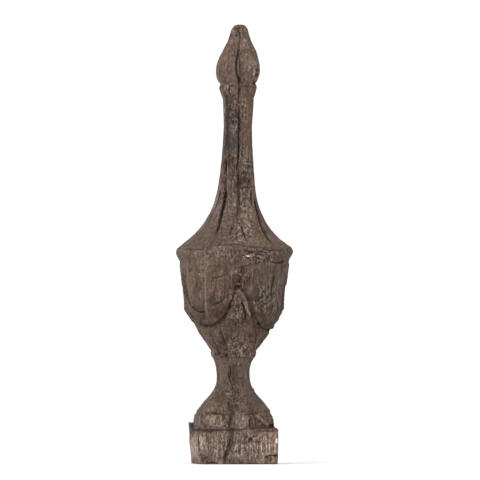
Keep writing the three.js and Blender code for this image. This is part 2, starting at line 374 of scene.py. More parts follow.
def spire_grooves(place, z):
    """Grooves up the middle of each face and along each arris."""
    start = smooth(z, mix(RIM_TOP, FLARE_TOP, 0.1), mix(RIM_TOP, FLARE_TOP, 0.4))
    fade = start * smooth(TIP - z, 0, SPIRE_GROOVE_END_HEIGHT)
    middle = bump(place["from_middle"] / SPIRE_GROOVE_HALF_WIDTH)
    arris = bump((place["from_middle"] - place["flat"]) / SPIRE_GROOVE_HALF_WIDTH)
    shallower = mix(FLARE_ARRIS_SHARE, BUD_ARRIS_SHARE, smooth(z, FLARE_TOP, BUD_BEAD_TOP))
    return -SPIRE_GROOVE_DEPTH * fade * np.maximum(middle, shallower * arris)


FOOT_GROOVE_DEPTH = 4
FOOT_GROOVE_HALF_WIDTH = 7
FOOT_GROOVE_END_HEIGHT = 2
PANEL_GROOVE_DEPTH = 3
PANEL_GROOVE_HEIGHT = 4


def foot_grooves(place, z):
    """The groove up the middle of each face of the foot, and the one along the top of its panels."""
    start = smooth(z, PLINTH_TOP, PLINTH_TOP + FOOT_GROOVE_END_HEIGHT)
    run = start * smooth(NECK_TOP - z, 0, NECK_TOP - FOOT_TOP)
    middle = FOOT_GROOVE_DEPTH * run * bump(place["from_middle"] / FOOT_GROOVE_HALF_WIDTH)
    return -np.maximum(middle, PANEL_GROOVE_DEPTH * bump((z - FOOT_BAND_TOP) / PANEL_GROOVE_HEIGHT))


def carved_depth(place, z):
    cloth, undercut = swags(place, z)
    raised = np.maximum.reduce([cloth, knots(place, z), tails(place, z), gathers(place, z)])
    ground = np.where(raised > 0, raised, cone_flutes(place, z) + undercut)
    return ground + spire_grooves(place, z) + foot_grooves(place, z)


# The plinth's corners turn up into ears, but the front right one is broken off, and the front left
# one is worn down. They reach this far down and in from the plinth's top edge, and lean out a little.
EAR_HEIGHTS = (-4, 8, 9, 0)
EAR_DEPTH = 9
EAR_THICKNESS = 4
EAR_LEAN = 0.002


def ears(place, half_width, z):
    """How high each point's ear is, and how much of it the point takes."""
    towards_corner = place["from_middle"] / place["corner"]
    ear = np.array(EAR_HEIGHTS)[place["nearest_corner"]] * smooth(towards_corner, 0.55, 0.85)
    ear = ear * (1 - 0.3 * smooth(towards_corner, 0.93, 1))
    near_top = smooth(z, PLINTH_TOP - EAR_DEPTH, PLINTH_TOP)
    near_edge = smooth(half_width, FOOT_WIDTH / 2, FOOT_WIDTH / 2 + EAR_THICKNESS)
    return ear, np.where(z <= PLINTH_TOP, near_top * near_edge, 0)


# How far the warped spire stands to the right of the straight axis, by height, besides its even lean.
SWAY = (
    (0, 2.4), (20, 2.2), (40, 1.2), (83, 1.2), (92, 0.4), (105, 1.0), (155, 1.0), (180, 0), (215, 0.9),
    (230, 1.7), (260, 1.6), (300, 0.9), (330, 0), (404, 0), (416, -0.8), (428, -2.0), (440, -0.9),
    (456, 0), (500, 1.6), (560, 2.8), (690, 2.6), (735, 0.5), (770, 0.4), (790, 2.2), (840, 1.6),
)
# How much more than the even outline stands at each height, on every side.
FULLER = (
    (0, 0.6), (60, 0), (83, 0.8), (105, -1.2), (150, -1.4), (175, 0), (198, 1.0), (215, 0.3),
    (225, 1.5), (250, 1.3), (262, 0), (385, 0), (398, 1.0), (412, 0), (425, -0.5), (445, -0.5),
    (470, 0.4), (500, 0.3), (520, 0), (560, -0.7), (600, -0.6), (640, 0), (750, 0.4), (780, -0.8),
    (796, -1.9), (808, -2.4), (820, -0.6), (836, 0),
)


def lean(z):
    even = TIP_LEAN * np.maximum(0, (z - FOOT_TOP) / (TIP - FOOT_TOP)) ** 1.4
    return even + np.interp(z, *zip(*SWAY))


# Marks are laid out on a grid of 480 steps each way, held up before the finial by someone who
# stands 12 m off, a little to the left of its middle.
SEEN_FROM = math.radians(-6.7)
SEEN_AT = 12000
SEEN_HEIGHT = 427.7
SEEN_MIDDLE = 13.4
SEEN_TILT = math.radians(-1.2)
GRID_STEP = 1.9125
GRID_MIDDLE = 240


def as_seen(x, y, z):
    """The grid place of a point: steps from the left, and steps down from the top."""
    across = x * math.cos(SEEN_FROM) + y * math.sin(SEEN_FROM)
    away = y * math.cos(SEEN_FROM) - x * math.sin(SEEN_FROM)
    nearer = SEEN_AT / (SEEN_AT + away)
    right = (across * nearer - SEEN_MIDDLE) / GRID_STEP
    up = ((z - SEEN_HEIGHT) * nearer + away * math.sin(SEEN_TILT)) / GRID_STEP
    return GRID_MIDDLE + right, GRID_MIDDLE - up


def beside(u, v, line):
    """How far each grid place is from a line, on which hand, and how far along it: 0 to 1."""
    lengths = [math.dist(a, b) for a, b in zip(line, line[1:])]
    nearest = np.full(len(u), np.inf)
    hand = np.zeros(len(u))
    along = np.zeros(len(u))
    walked = 0
    for (u0, v0), (u1, v1), length in zip(line, line[1:], lengths):
        du, dv = (u1 - u0) / length, (v1 - v0) / length
        on = np.clip((u - u0) * du + (v - v0) * dv, 0, length)
        gap = np.hypot(u - u0 - on * du, v - v0 - on * dv)
        closer = gap < nearest
        nearest = np.where(closer, gap, nearest)
        hand = np.where(closer, np.sign(du * (v - v0) - dv * (u - u0)), hand)
        along = np.where(closer, (walked + on) / sum(lengths), along)
        walked += length
    return nearest, hand, along


def near(u, v, line, reach):
    """Which grid places lie in the box round a line."""
    us, vs = zip(*line)
    inside_u = (u > min(us) - reach) & (u < max(us) + reach)
    inside_v = (v > min(vs) - reach) & (v < max(vs) + reach)
    return np.flatnonzero(inside_u & inside_v)


class Surface:
    """The finial's surface while it is worn: grid places, relief in millimetres, stains, painted shade in its
    hollows, and pale bare wood with some painted highlights.
    """

    def __init__(self, u, v, seen):
        self.u, self.v = u, v
        self.seen = seen
        self.relief = np.zeros(len(u))
        self.dark = np.zeros(len(u))
        self.light = np.zeros(len(u))
        self.scabs = np.full(len(u), 0.25)
        self.fibres = np.full(len(u), 0.3)
        self.tint = np.ones((len(u), 3))

    def along(self, on, line, reach):
        """The points near a line: which they are, how far off, on which hand and how far along."""
        near_by = on[near(self.u[on], self.v[on], line, reach)]
        return near_by, *beside(self.u[near_by], self.v[near_by], line)

    # Darkening is painted shade in the depths of cuts, pits and creases, and under the cloth's hem.
    def darken(self, on, dark):
        self.dark[on] = np.maximum(self.dark[on], dark)

    def cut(self, on, line, width, depth, dark=1.0):
        """A groove or crack, V-shaped, thin at its two ends."""
        near_by, gap, _, along = self.along(on, line, width + 1)
        ends = smooth(np.minimum(along, 1 - along), -0.04, 0.14)
        shape = np.maximum(0, 1 - gap / (width * (0.35 + 0.65 * ends))) ** 1.2 * ends
        self.relief[near_by] -= depth * shape
        self.darken(near_by, dark * np.minimum(1, 1.6 * shape))

    def ridge(self, on, line, width, height, light=0.0):
        """A raised roll along a line."""
        near_by, gap, _, along = self.along(on, line, width + 1)
        shape = bump(gap / width) * smooth(np.minimum(along, 1 - along), -0.05, 0.2)
        self.relief[near_by] += height * shape
        self.light[near_by] = np.maximum(self.light[near_by], light * np.minimum(1, 1.4 * shape))

    def lap(self, on, line, height, reach, dark=0.8):
        """An edge that laps over what is on the walker's left: raised on the right hand, with painted shade
        in its crease.
        """
        near_by, gap, hand, along = self.along(on, line, reach + 1)
        ends = smooth(np.minimum(along, 1 - along), -0.02, 0.1)
        raised = np.where(hand > 0, smooth(gap, 0, 0.9) * (1 - smooth(gap, 0.35 * reach, reach)), 0)
        crease = np.where(hand > 0, bump(gap / 0.8), bump(gap / 1.6))
        self.relief[near_by] += ends * (height * raised - 0.5 * height * crease)
        self.darken(near_by, dark * ends * crease)

    def lump(self, on, middle, size, height, dark=0.0):
        """A rounded lump, or a hollow where its height is below nought."""
        near_by = on[near(self.u[on], self.v[on], (middle, middle), max(size))]
        shape = bump(self.from_middle(near_by, middle, size))
        self.relief[near_by] += height * shape
        self.darken(near_by, dark * np.minimum(1, 1.5 * shape))

    def flecks(self, on, middle, size, count, rng):
        """Small pits, with light flecks standing up between them."""
        for i in range(count):
            turn, far = rng.uniform(0, 2 * math.pi), math.sqrt(rng.uniform(0, 1))
            at = middle[0] + size[0] * far * math.cos(turn), middle[1] + size[1] * far * math.sin(turn)
            if i % 3:
                pit = rng.uniform(0.6, 1.1), rng.uniform(0.6, 1.3)
                self.lump(on, at, pit, -rng.uniform(0.8, 1.8), rng.uniform(0.3, 0.8))
            else:
                tall = rng.uniform(0.4, 1.4)
                line = (at, (at[0] + rng.uniform(-0.3, 0.3), at[1] + tall))
                self.ridge(on, line, rng.uniform(0.7, 0.9), 0.9, rng.uniform(0.15, 0.45))

    def from_middle(self, on, middle, size, places=None):
        """How far points are from a patch's middle, as a share of the patch's size."""
        u, v = places or (self.u, self.v)
        return np.hypot((u[on] - middle[0]) / size[0], (v[on] - middle[1]) / size[1])

    def stain(self, on, middle, size, colour, strength=1.0, places=None):
        """A soft-edged patch of another colour, given as what it multiplies the wood's by."""
        share = strength * (1 - smooth(self.from_middle(on, middle, size, places), 0.35, 1.15))
        self.tint[on] *= mix(1, np.array(colour), share[:, None])

    def calm(self, on, middle, size, left):
        """A soft-edged patch of sound wood, with only a share of the roughness left."""
        share = mix(left, 1, smooth(self.from_middle(on, middle, size), 0.5, 1.2))
        self.scabs[on] *= share
        self.fibres[on] *= share

    def coarsen(self, on, middle, size, scabs, fibres):
        """A soft-edged patch of rougher wood: how scabby and how fibrous it has become, 0 to 1."""
        share = 1 - smooth(self.from_middle(on, middle, size), 0.5, 1.2)
        self.scabs[on] = np.maximum(self.scabs[on], scabs * share)
        self.fibres[on] = np.maximum(self.fibres[on], fibres * share)


# Colours that stains multiply the wood's own colour by.
CHARCOAL = (0.56, 0.62, 0.74)
PINK = (1.25, 0.98, 0.95)
PURPLE = (0.92, 0.72, 0.74)
OLIVE = (1.0, 1.02, 0.78)
MOSS = (0.78, 0.88, 0.68)
ORANGE = (1.25, 1.0, 0.78)
PALE = (1.3, 1.32, 1.36)
UMBER = (0.66, 0.58, 0.52)
GREY_GREEN = (0.92, 1.0, 0.9)
RUST = (1.1, 0.84, 0.72)

# Marks carved on every side, in grid steps as the front shows them: line, width, depth, darkness.
CARVED_CUTS = (
    (((238.4, 26), (238.3, 33)), 0.8, 2.5, 0.8),
    (((239.2, 40), (239.2, 46), (238.2, 53), (236.8, 60), (236.0, 66), (237.2, 73), (239.2, 79),
      (239.6, 85)), 1.7, 4.5, 0.85),
    (((239.2, 86), (238.8, 96), (238.5, 106)), 0.9, 3.0, 0.75),
    (((238.6, 102), (239.2, 112), (239.3, 122), (238.8, 134)), 2.0, 1.6, 0.5),
    (((238.6, 128), (238.5, 137), (238.4, 149), (238.2, 159), (237.2, 166), (236.4, 173)), 1.05, 4.0, 0.9),
    (((237.4, 170), (238.4, 180), (238.8, 192), (239.2, 204), (240.2, 213), (241.2, 222),
      (241.8, 229)), 1.6, 1.0, 0.32),
    (((241.2, 225), (242.6, 231.4), (245.4, 237.4)), 1.4, 3.2, 1.0),
    (((225.3, 162), (225.5, 178), (225.2, 188), (225.2, 195), (224.2, 204), (222.2, 213), (220.2, 222),
      (217.4, 231), (215.2, 235.4)), 1.9, 6.0, 1.0),
    (((225.4, 156), (225.5, 178), (225.2, 199)), 1.8, 4.0, 1.0),
    (((224.8, 194), (223.8, 204), (221.8, 213), (219.8, 222), (217.4, 230)), 1.7, 3.0, 0.8),
    (((253.8, 197), (256, 205), (258, 214), (261, 225), (264.4, 232), (267.6, 238), (271.5, 243.5)),
      1.6, 4.2, 1.0),
    (((230.8, 85.6), (235, 85.9)), 1.2, 2.0, 0.85),
    (((240, 86.2), (244, 85.9), (250.4, 86.4)), 1.2, 2.0, 0.8),
    (((179, 249.6), (186, 249.0), (196, 249.2), (205, 250)), 0.95, 1.8, 0.85),
    (((213, 246.4), (220, 244.8), (239, 244.2), (245, 245.6), (253, 247.4), (266, 248), (278, 248)),
      1.0, 2.0, 0.75),
    (((229, 365.2), (230.4, 369), (230.5, 375), (229.6, 379.4)), 1.05, 3.2, 0.85),
    (((228.4, 371), (229.0, 377), (230.6, 381.6), (232.6, 384.6)), 0.9, 2.4, 0.7),
    (((227, 358.4), (229.6, 363), (233.4, 365.4), (238, 366.4), (244.3, 364.6)), 0.7, 1.5, 0.5),
    (((230.2, 398), (231.2, 408), (231.8, 422), (232, 434), (230.6, 446)), 4.4, 3.4, 0.42),
    (((231.2, 436), (229.6, 446), (227.0, 453.5), (225.6, 459), (225.4, 464)), 3.0, 4.4, 0.5),
    (((229.4, 442), (227.4, 447.6), (225.6, 453), (225, 460)), 1.0, 3.0, 0.8),
    # The dark groove where the foot meets the plinth is a real groove with painted shade in the joint.
    (((188, 427), (197, 429.4), (206, 430.6), (216, 431.4)), 2.6, 2.8, 0.8),
    (((205, 429.6), (214.5, 430.4), (226, 429.8), (234, 430.4), (245, 429.2), (254, 428), (262, 427)),
      1.1, 3.2, 0.85),
    (((204, 412.6), (212, 413.4), (219, 414), (226, 413.6)), 1.15, 2.2, 0.9),
    (((239.7, 416), (245.4, 414.6), (250.6, 413.8), (256, 413.2), (262, 411.6)), 0.95, 1.8, 0.75),
)
SWAG_CUTS = (
    (((238.0, 291), (234.6, 293.4), (232.0, 299), (229.8, 304.4), (229.0, 309)), 0.9, 2.4, 0.7),
    (((229.9, 303), (229.3, 309.6)), 1.4, 3.0, 0.95),
    (((227.4, 312.4), (224.2, 316.4), (220.6, 320)), 1.3, 2.8, 0.85),
    (((221.6, 319), (216.4, 323.4), (211, 326)), 1.5, 3.2, 0.95),
    (((212, 326), (206, 325.8), (200, 324.2), (196, 321.8), (192.2, 317.4)), 1.2, 2.0, 0.75),
    (((206, 311.6), (199.4, 311), (193.6, 307.2), (189.4, 303)), 1.6, 1.6, 0.7),
    (((241.6, 300.6), (243.4, 305), (244.6, 310), (245.4, 315), (245.3, 321)), 1.35, 6.0, 1.0),
    (((243.4, 291.6), (248, 298), (251.4, 305), (252.2, 311), (250.2, 316)), 0.75, 1.3, 0.45),
    (((253.6, 311), (255.6, 316.6), (257.8, 321.6)), 0.9, 1.6, 0.55),
    (((258.4, 324.4), (261.4, 327.6), (266, 330), (270.6, 330)), 1.25, 2.6, 0.85),
    (((219.6, 353), (217.4, 348.6), (213.2, 340), (210, 332)), 0.9, 1.5, 0.55),
    (((220, 331), (222.6, 336), (224.6, 341), (226, 346)), 1.1, 2.4, 0.8),
    (((226.6, 333), (226.6, 340), (227.6, 346)), 0.8, 1.4, 0.6),
    (((238, 330), (238.1, 336), (238.0, 342)), 0.8, 1.4, 0.6),
    (((244.8, 332), (244.8, 343)), 1.0, 1.0, 0.45),
    (((231.4, 334), (232.4, 345)), 0.9, 1.2, 0.5),
    (((250.6, 331), (250.0, 344)), 0.9, 1.2, 0.5),
    (((201.4, 331), (207, 340), (213, 351)), 0.9, 1.2, 0.45),
    (((265.4, 334), (260.4, 341), (256.4, 349)), 0.9, 1.2, 0.5),
    (((255.4, 328.4), (256.8, 334), (255.6, 342), (253.4, 349)), 1.1, 2.0, 0.7),
    (((259.4, 328.6), (258.2, 333), (257.2, 337)), 1.0, 1.8, 0.65),
)
# Edges of cloth that lap over what is under them, raised on the right hand of who walks the line:
# line, height, reach, darkness.
SWAG_LAPS = (
    (((212.4, 305.6), (216, 304), (220, 302.6), (223.6, 299.6), (227, 296), (230.6, 293.2)), 2.6, 10, 0.85),
    (((206.4, 312), (199.4, 311.4), (193.2, 307.4), (188.6, 302.6)), 3.0, 9, 1.0),
    (((248, 299), (254, 305), (262, 309), (270, 310)), 1.6, 9, 0.35),
)
# Lumps, hollows and creases of the cloth's knot. A lump has a middle, size, height and darkness.
KNOT_LUMPS = (
    ((238.2, 287.2), (3.8, 2.3), -5.0, 1.0),
    ((235.4, 288.8), (2.2, 1.4), -2.4, 0.85),
    ((231.2, 288.4), (1.0, 0.9), -1.4, 0.7),
    ((233.0, 276.0), (1.4, 1.2), -2.0, 0.7),
)
KNOT_CUTS = (
    (((230.4, 290), (229.8, 281), (230.8, 273.4)), 0.8, 1.6, 0.5),
    (((231.6, 272.6), (236, 268.2), (240, 267.4), (246, 268.8), (250.2, 272.4)), 0.7, 1.2, 0.35),
)
FRONT_KNOT_CUTS = (
    (((243.0, 270.6), (246.8, 271.4)), 1.2, 2.0, 0.7),
    (((249.6, 272.2), (249.9, 279.4)), 0.9, 2.2, 0.8),
    (((243.6, 280.4), (249.2, 281.0)), 0.8, 1.6, 0.65),
    (((243.8, 282.6), (248.6, 282.6)), 0.7, 1.2, 0.45),
    (((236.0, 275.7), (239.2, 275.5), (241.3, 277.4), (241.4, 280.0)), 1.0, 2.4, 0.85),
    (((233.0, 276.4), (233.4, 281), (235.4, 286)), 0.9, 1.8, 0.65),
    (((238.2, 278.4), (239.6, 279.8)), 0.7, 1.2, 0.5),
    (((241.4, 288.4), (244.8, 292.6)), 1.1, 1.8, 0.6),
)
FRONT_KNOT_LUMPS = (
    ((234.8, 280.5), (3.4, 7.0), 2.0, 0.1),
    ((246.6, 276.4), (3.9, 4.8), 3.4, 0.0),
    ((238.6, 278.0), (3.6, 3.6), 2.6, 0.0),
    ((239.6, 281.8), (1.9, 1.4), -3.2, 0.95),
    ((243.6, 272.8), (2.6, 1.8), -2.0, 0.5),
    ((241.6, 271.2), (1.1, 1.0), -1.8, 0.8),
    ((244.8, 273.4), (1.2, 1.1), -1.8, 0.75),
    ((242.6, 275.0), (1.0, 0.9), -1.4, 0.7),
    ((241.4, 285.6), (1.2, 1.8), -2.0, 0.7),
    ((234.2, 286.4), (2.6, 2.6), -1.8, 0.6),
)
# The knots of the other three sides are worn down to a few creases.
WORN_KNOT_CUTS = (
    (((236.8, 269.6), (235.4, 276.4), (236.2, 283), (238.2, 288.4)), 1.2, 2.4, 0.7),
    (((241.4, 268.4), (242.2, 275), (240.6, 281), (240.8, 287)), 0.9, 1.8, 0.5),
    (((246.8, 270.8), (247.4, 277), (245.2, 283.4), (242.4, 288)), 1.1, 2.4, 0.65),
    (((232.4, 274), (232.0, 280), (233.6, 286)), 0.9, 1.6, 0.5),
)

# Marks that only the front has: cuts, lumps, ridges and stains.
FRONT_CUTS = (
    (((241.5, 60), (241.7, 70), (241.3, 78)), 0.7, 1.0, 0.35),
    (((236.4, 47), (234.8, 52), (233.4, 60)), 0.7, 0.8, 0.3),
    (((227.9, 93.5), (232.3, 95.3), (236, 95.6)), 0.7, 1.2, 0.8),
    (((231.2, 94.4), (231.4, 104)), 0.7, 1.0, 0.4),
    (((243.2, 162), (247, 161.8), (252.2, 162)), 0.95, 1.6, 0.9),
    (((229.2, 150), (229, 158), (229.6, 166)), 0.6, 1.0, 0.6),
    (((232.6, 156), (232.8, 168)), 0.6, 1.0, 0.5),
    (((240.6, 173.4), (246, 172.6), (252.6, 173)), 0.9, 1.6, 0.8),
    (((240.4, 174), (240.6, 185)), 0.8, 1.4, 0.6),
    (((241.6, 186.8), (247, 187), (252.6, 186.6)), 0.9, 1.6, 0.85),
    (((245.8, 189), (246, 202)), 0.9, 1.2, 0.5),
    (((251.2, 188), (251.6, 200), (253, 207)), 0.7, 1.2, 0.5),
    (((248.8, 213), (249.4, 222)), 1.0, 1.2, 0.5),
    (((234.2, 176), (234.4, 190), (233.6, 206)), 0.7, 0.9, 0.35),
    (((190.6, 258), (190.2, 263)), 0.6, 0.8, 0.5),
    (((187, 257.6), (187, 263.4)), 0.7, 1.0, 0.6),
    (((213, 250), (213.2, 259)), 0.6, 0.9, 0.5),
    (((216.6, 249), (216.6, 256.4)), 0.6, 0.9, 0.5),
    (((223.2, 250), (223.2, 255)), 0.7, 1.1, 0.5),
    (((228.2, 249), (228.2, 255)), 0.6, 0.8, 0.4),
    (((231.6, 248), (231.6, 260)), 0.7, 0.9, 0.5),
    (((234.4, 249), (234.4, 258)), 0.5, 0.7, 0.4),
    (((220.8, 256.2), (223.8, 257.4)), 0.9, 1.3, 0.85),
    (((225.2, 256.2), (228.6, 257.4)), 0.9, 1.3, 0.85),
    (((208, 265.6), (216, 265.2), (224, 266)), 0.7, 0.8, 0.3),
    (((238, 267), (246, 266), (254, 264.4), (262, 263), (267, 261.4)), 1.1, 1.6, 0.5),
    (((243.4, 250.4), (249.6, 251.4), (256, 251.8), (260.4, 253.4)), 0.9, 2.4, 0.85),
    (((247, 253.6), (253, 253.4), (258.6, 254.6), (263, 255.4), (266.4, 257.6)), 1.0, 2.8, 0.95),
    (((258, 250.6), (264, 252.4), (268, 255.4), (269.8, 259)), 0.85, 2.2, 0.75),
    (((262, 249.4), (268, 250.4), (274, 250.8)), 0.8, 1.8, 0.7),
    (((251, 257.6), (255, 257.2), (259, 259.6), (263, 260)), 0.9, 2.4, 0.85),
    (((268, 252.4), (272, 250.4), (277, 250), (282, 251.4)), 0.85, 1.8, 0.7),
    (((269.6, 261), (275, 262.6), (280, 262.8), (285, 260.8)), 1.05, 2.4, 0.8),
    (((247.6, 258.6), (252, 260.8), (250.4, 264.6)), 0.8, 1.6, 0.6),
    (((210.4, 278.2), (216.4, 278), (221.4, 276.2), (228, 274.6)), 0.75, 1.5, 0.75),
    (((211.6, 279), (211.4, 290)), 0.6, 1.0, 0.6),
    (((216.2, 279), (216, 291)), 0.6, 0.9, 0.5),
    (((219.9, 277.6), (220, 291)), 0.6, 0.9, 0.45),
    (((225, 276.6), (225.2, 294)), 0.7, 1.1, 0.55),
    (((227.6, 279), (227.4, 296)), 0.5, 0.8, 0.4),
    (((197, 275), (196.8, 290)), 0.7, 1.2, 0.6),
    (((196.6, 289.6), (203, 289.6)), 0.6, 1.0, 0.7),
    (((203.4, 277), (203.2, 284)), 0.6, 0.8, 0.6),
    (((189, 268.6), (192.4, 269.4)), 0.8, 1.2, 0.85),
    (((182.8, 285.6), (184.2, 294)), 0.9, 1.4, 0.6),
    (((274.6, 275.6), (273.2, 282), (272, 288), (271.2, 296.6)), 1.4, 3.4, 1.0),
    (((283.4, 288), (283, 298), (281.6, 309)), 0.9, 1.8, 0.6),
    (((277.6, 300), (277.8, 313)), 0.8, 1.8, 0.6),
    (((272.4, 302), (271.2, 314)), 0.7, 1.2, 0.6),
    (((265.2, 286), (264.6, 296)), 0.6, 1.0, 0.6),
    (((262.4, 290), (261.8, 299)), 0.6, 1.0, 0.6),
    (((268.4, 288), (267.8, 300)), 0.6, 1.0, 0.6),
    (((257.6, 284), (257.2, 292)), 0.6, 0.8, 0.4),
    (((253.8, 276), (253.6, 286)), 0.6, 0.8, 0.4),
    (((222.9, 391), (222.8, 396.5)), 0.6, 0.9, 0.6),
    (((227.4, 386), (227.6, 392)), 0.7, 1.0, 0.6),
    (((232.4, 391), (232.2, 400)), 0.7, 1.0, 0.7),
    (((235.6, 389), (235.4, 396)), 0.6, 1.0, 0.6),
    (((238.8, 383.6), (240.0, 389), (241.4, 393)), 0.7, 1.2, 0.6),
    (((234.2, 399), (234.4, 402.6)), 1.0, 1.4, 0.85),
    (((229.0, 402), (229.2, 408)), 0.9, 1.8, 0.85),
    (((240.2, 404), (242.6, 405.6)), 0.7, 1.0, 0.6),
    (((228.6, 421), (228.8, 428.6)), 0.9, 1.8, 0.95),
    (((204.4, 415), (204.2, 428)), 1.0, 1.4, 0.5),
    (((222.8, 414.6), (223.2, 421.4)), 1.1, 1.5, 0.6),
    (((249.8, 417), (249.6, 429)), 0.9, 1.6, 0.8),
    (((255.4, 417), (255.6, 428)), 0.9, 1.6, 0.7),
    (((256.4, 417.6), (260, 421.6), (264.6, 426)), 0.9, 1.8, 0.6),
    (((262, 428.2), (270, 427.8), (275.4, 427)), 0.9, 2.0, 0.7),
    (((260.6, 431.4), (266, 430.6), (271, 431.6), (275.4, 430.2)), 0.8, 1.4, 0.55),
    (((239.6, 309.4), (237.2, 312.6), (234.8, 314.6)), 0.7, 1.2, 0.6),
    (((234.6, 303), (236.4, 308.4)), 0.7, 1.0, 0.5),
    (((240.6, 318), (242.2, 322)), 0.7, 1.0, 0.5),
    (((198.4, 435), (198.6, 446), (198.4, 456)), 0.9, 1.8, 0.8),
    (((263, 434.5), (263, 453.5)), 0.7, 1.2, 0.8),
    (((265.4, 435), (265.2, 454)), 0.6, 1.2, 0.7),
    (((268.0, 434), (267.8, 453)), 0.7, 1.2, 0.8),
    (((271.4, 435), (271.2, 453)), 0.7, 1.2, 0.75),
    (((273.6, 437), (273.4, 452)), 0.6, 1.0, 0.7),
    (((264.6, 458.4), (268, 456), (272, 455.2), (278.4, 455.2)), 1.0, 2.2, 0.95),
    (((273, 455.2), (278.4, 455.6)), 1.5, 2.2, 1.0),
    (((244.6, 434), (243.6, 441), (244.6, 450)), 0.7, 1.2, 0.6),
    (((236.4, 436), (234.4, 446), (231.6, 456)), 0.8, 1.4, 0.6),
    (((240.6, 444), (240, 456)), 0.7, 1.2, 0.5),
    (((214.4, 435), (214, 449)), 0.7, 1.2, 0.5),
    (((208.4, 437), (208, 450)), 0.6, 1.0, 0.5),
    (((220.6, 433), (220.8, 446)), 0.6, 1.0, 0.5),
    (((258.4, 446), (258.2, 461)), 0.7, 1.2, 0.5),
    (((254.2, 445), (254.0, 460)), 0.6, 1.0, 0.5),
    # The dark line along the plinth's bottom edge is a painted contact shadow.
    (((198, 464.2), (215, 464.4), (240, 464), (278, 463.6)), 0.8, 0.8, 0.5),
)
FRONT_LUMPS = (
    ((227.4, 89), (3.8, 4.6), 1.8, 0.0),
    ((257, 70), (1.9, 2.0), -2.4, 0.85),
    ((256.4, 75.4), (1.7, 2.4), -2.0, 0.8),
    ((253.6, 83.4), (1.9, 2.4), -2.0, 0.75),
    ((243.6, 74), (2.4, 1.8), -0.8, 0.35),
    ((230.6, 34), (4.2, 1.6), -1.4, 0.6),
    ((236, 35), (3.4, 1.4), -1.0, 0.5),
    ((233.3, 116), (2.0, 3.4), -1.4, 0.6),
    ((233.6, 123), (1.6, 2.0), -1.0, 0.5),
    ((222.8, 135.6), (2.4, 2.2), 2.6, 0.0),
    ((230.4, 155), (1.0, 1.1), -2.4, 1.0),
    ((226.4, 192.6), (1.3, 1.2), -3.4, 1.0),
    ((227.0, 196), (1.1, 1.3), -3.0, 1.0),
    ((223.2, 193.4), (1.1, 1.2), -2.6, 0.9),
    ((222.8, 198.2), (1.3, 1.2), -2.2, 0.7),
    ((247, 148), (2.4, 4.4), 1.2, 0.0),
    ((246, 166), (2.8, 3.0), 1.4, 0.0),
    ((246.6, 179.6), (6.0, 5.6), -2.0, 0.5),
    ((260.4, 210.4), (1.6, 2.0), 2.0, 0.0),
    ((240.8, 236.6), (3.4, 5.4), 1.6, 0.0),
    ((279.4, 256.8), (6.0, 5.2), 2.8, 0.25),
    ((258.6, 258.6), (2.2, 1.6), -2.2, 0.8),
    ((245.4, 250.6), (2.0, 1.4), -2.4, 0.8),
    ((247.8, 258.4), (1.4, 1.1), -2.0, 0.9),
    ((283, 308.8), (3.2, 3.6), 2.6, 0.0),
    ((182, 267), (1.6, 2.4), 1.6, 0.0),
    ((212.6, 300.6), (3.6, 4.8), -1.4, 0.5),
    ((258.5, 323.8), (1.7, 1.8), -5.0, 1.0),
    ((219, 353.6), (2.4, 1.9), -3.0, 0.95),
    ((226.0, 349.6), (2.0, 0.9), -2.0, 0.9),
    ((226.2, 355.4), (2.2, 1.5), -2.4, 0.85),
    ((222.4, 354), (1.6, 2.4), 1.4, 0.0),
    ((236.8, 361), (4.6, 3.4), 0.9, 0.0),
    ((253.6, 389.6), (1.8, 1.6), 2.2, 0.0),
    ((228.6, 386.6), (1.6, 1.4), 1.2, 0.0),
    ((215.4, 409.4), (13.4, 2.1), 1.6, 0.0),
    ((226.4, 403.4), (2.0, 2.0), 1.2, 0.0),
    ((241.4, 406.6), (3.2, 2.0), 1.2, 0.0),
    ((216.0, 421.6), (11.0, 7.6), 2.0, 0.0),
    ((243.2, 421.8), (7.4, 7.2), 2.0, 0.0),
    ((200, 420), (4, 6.4), 1.4, 0.0),
    ((191.4, 430.5), (4.2, 7.6), 3.0, 0.0),
    ((263, 426.4), (4.0, 2.7), -3.6, 0.75),
    ((271.2, 425.8), (3.2, 1.7), -3.6, 0.9),
    ((273.6, 425.4), (1.9, 2.6), -4.0, 0.95),
    ((264.6, 417.6), (4.0, 3.0), -1.4, 0.4),
    ((257.6, 430.4), (2.4, 4.4), 1.4, 0.0),
    ((251.0, 439.2), (2.5, 2.4), -3.8, 0.95),
    ((248.8, 440.8), (1.7, 1.5), -2.4, 0.95),
    ((253.6, 436.8), (1.5, 1.4), -2.2, 0.9),
    ((247.4, 437.2), (1.9, 1.3), -1.8, 0.75),
    ((244.4, 439.0), (1.0, 1.4), -1.4, 0.7),
    ((239.8, 440.6), (1.0, 1.2), -1.2, 0.7),
    ((245.2, 434.2), (0.9, 1.2), -1.0, 0.6),
    ((262.8, 417.2), (1.2, 1.4), -1.6, 0.7),
    ((255.4, 419), (0.9, 0.9), -1.4, 0.85),
    ((267, 423), (1.8, 0.9), -1.2, 0.6),
    ((260.4, 420.6), (0.9, 0.9), -1.0, 0.6),
    ((246.4, 437.0), (1.6, 1.2), -2.0, 0.8),
    ((250.4, 434.6), (1.4, 1.0), -1.4, 0.7),
    ((257.8, 441.8), (2.6, 2.2), -1.6, 0.62),
    ((204.6, 458.6), (6.0, 5.0), -1.8, 0.3),
    ((212, 463), (6.6, 2.0), -2.6, 0.75),
)
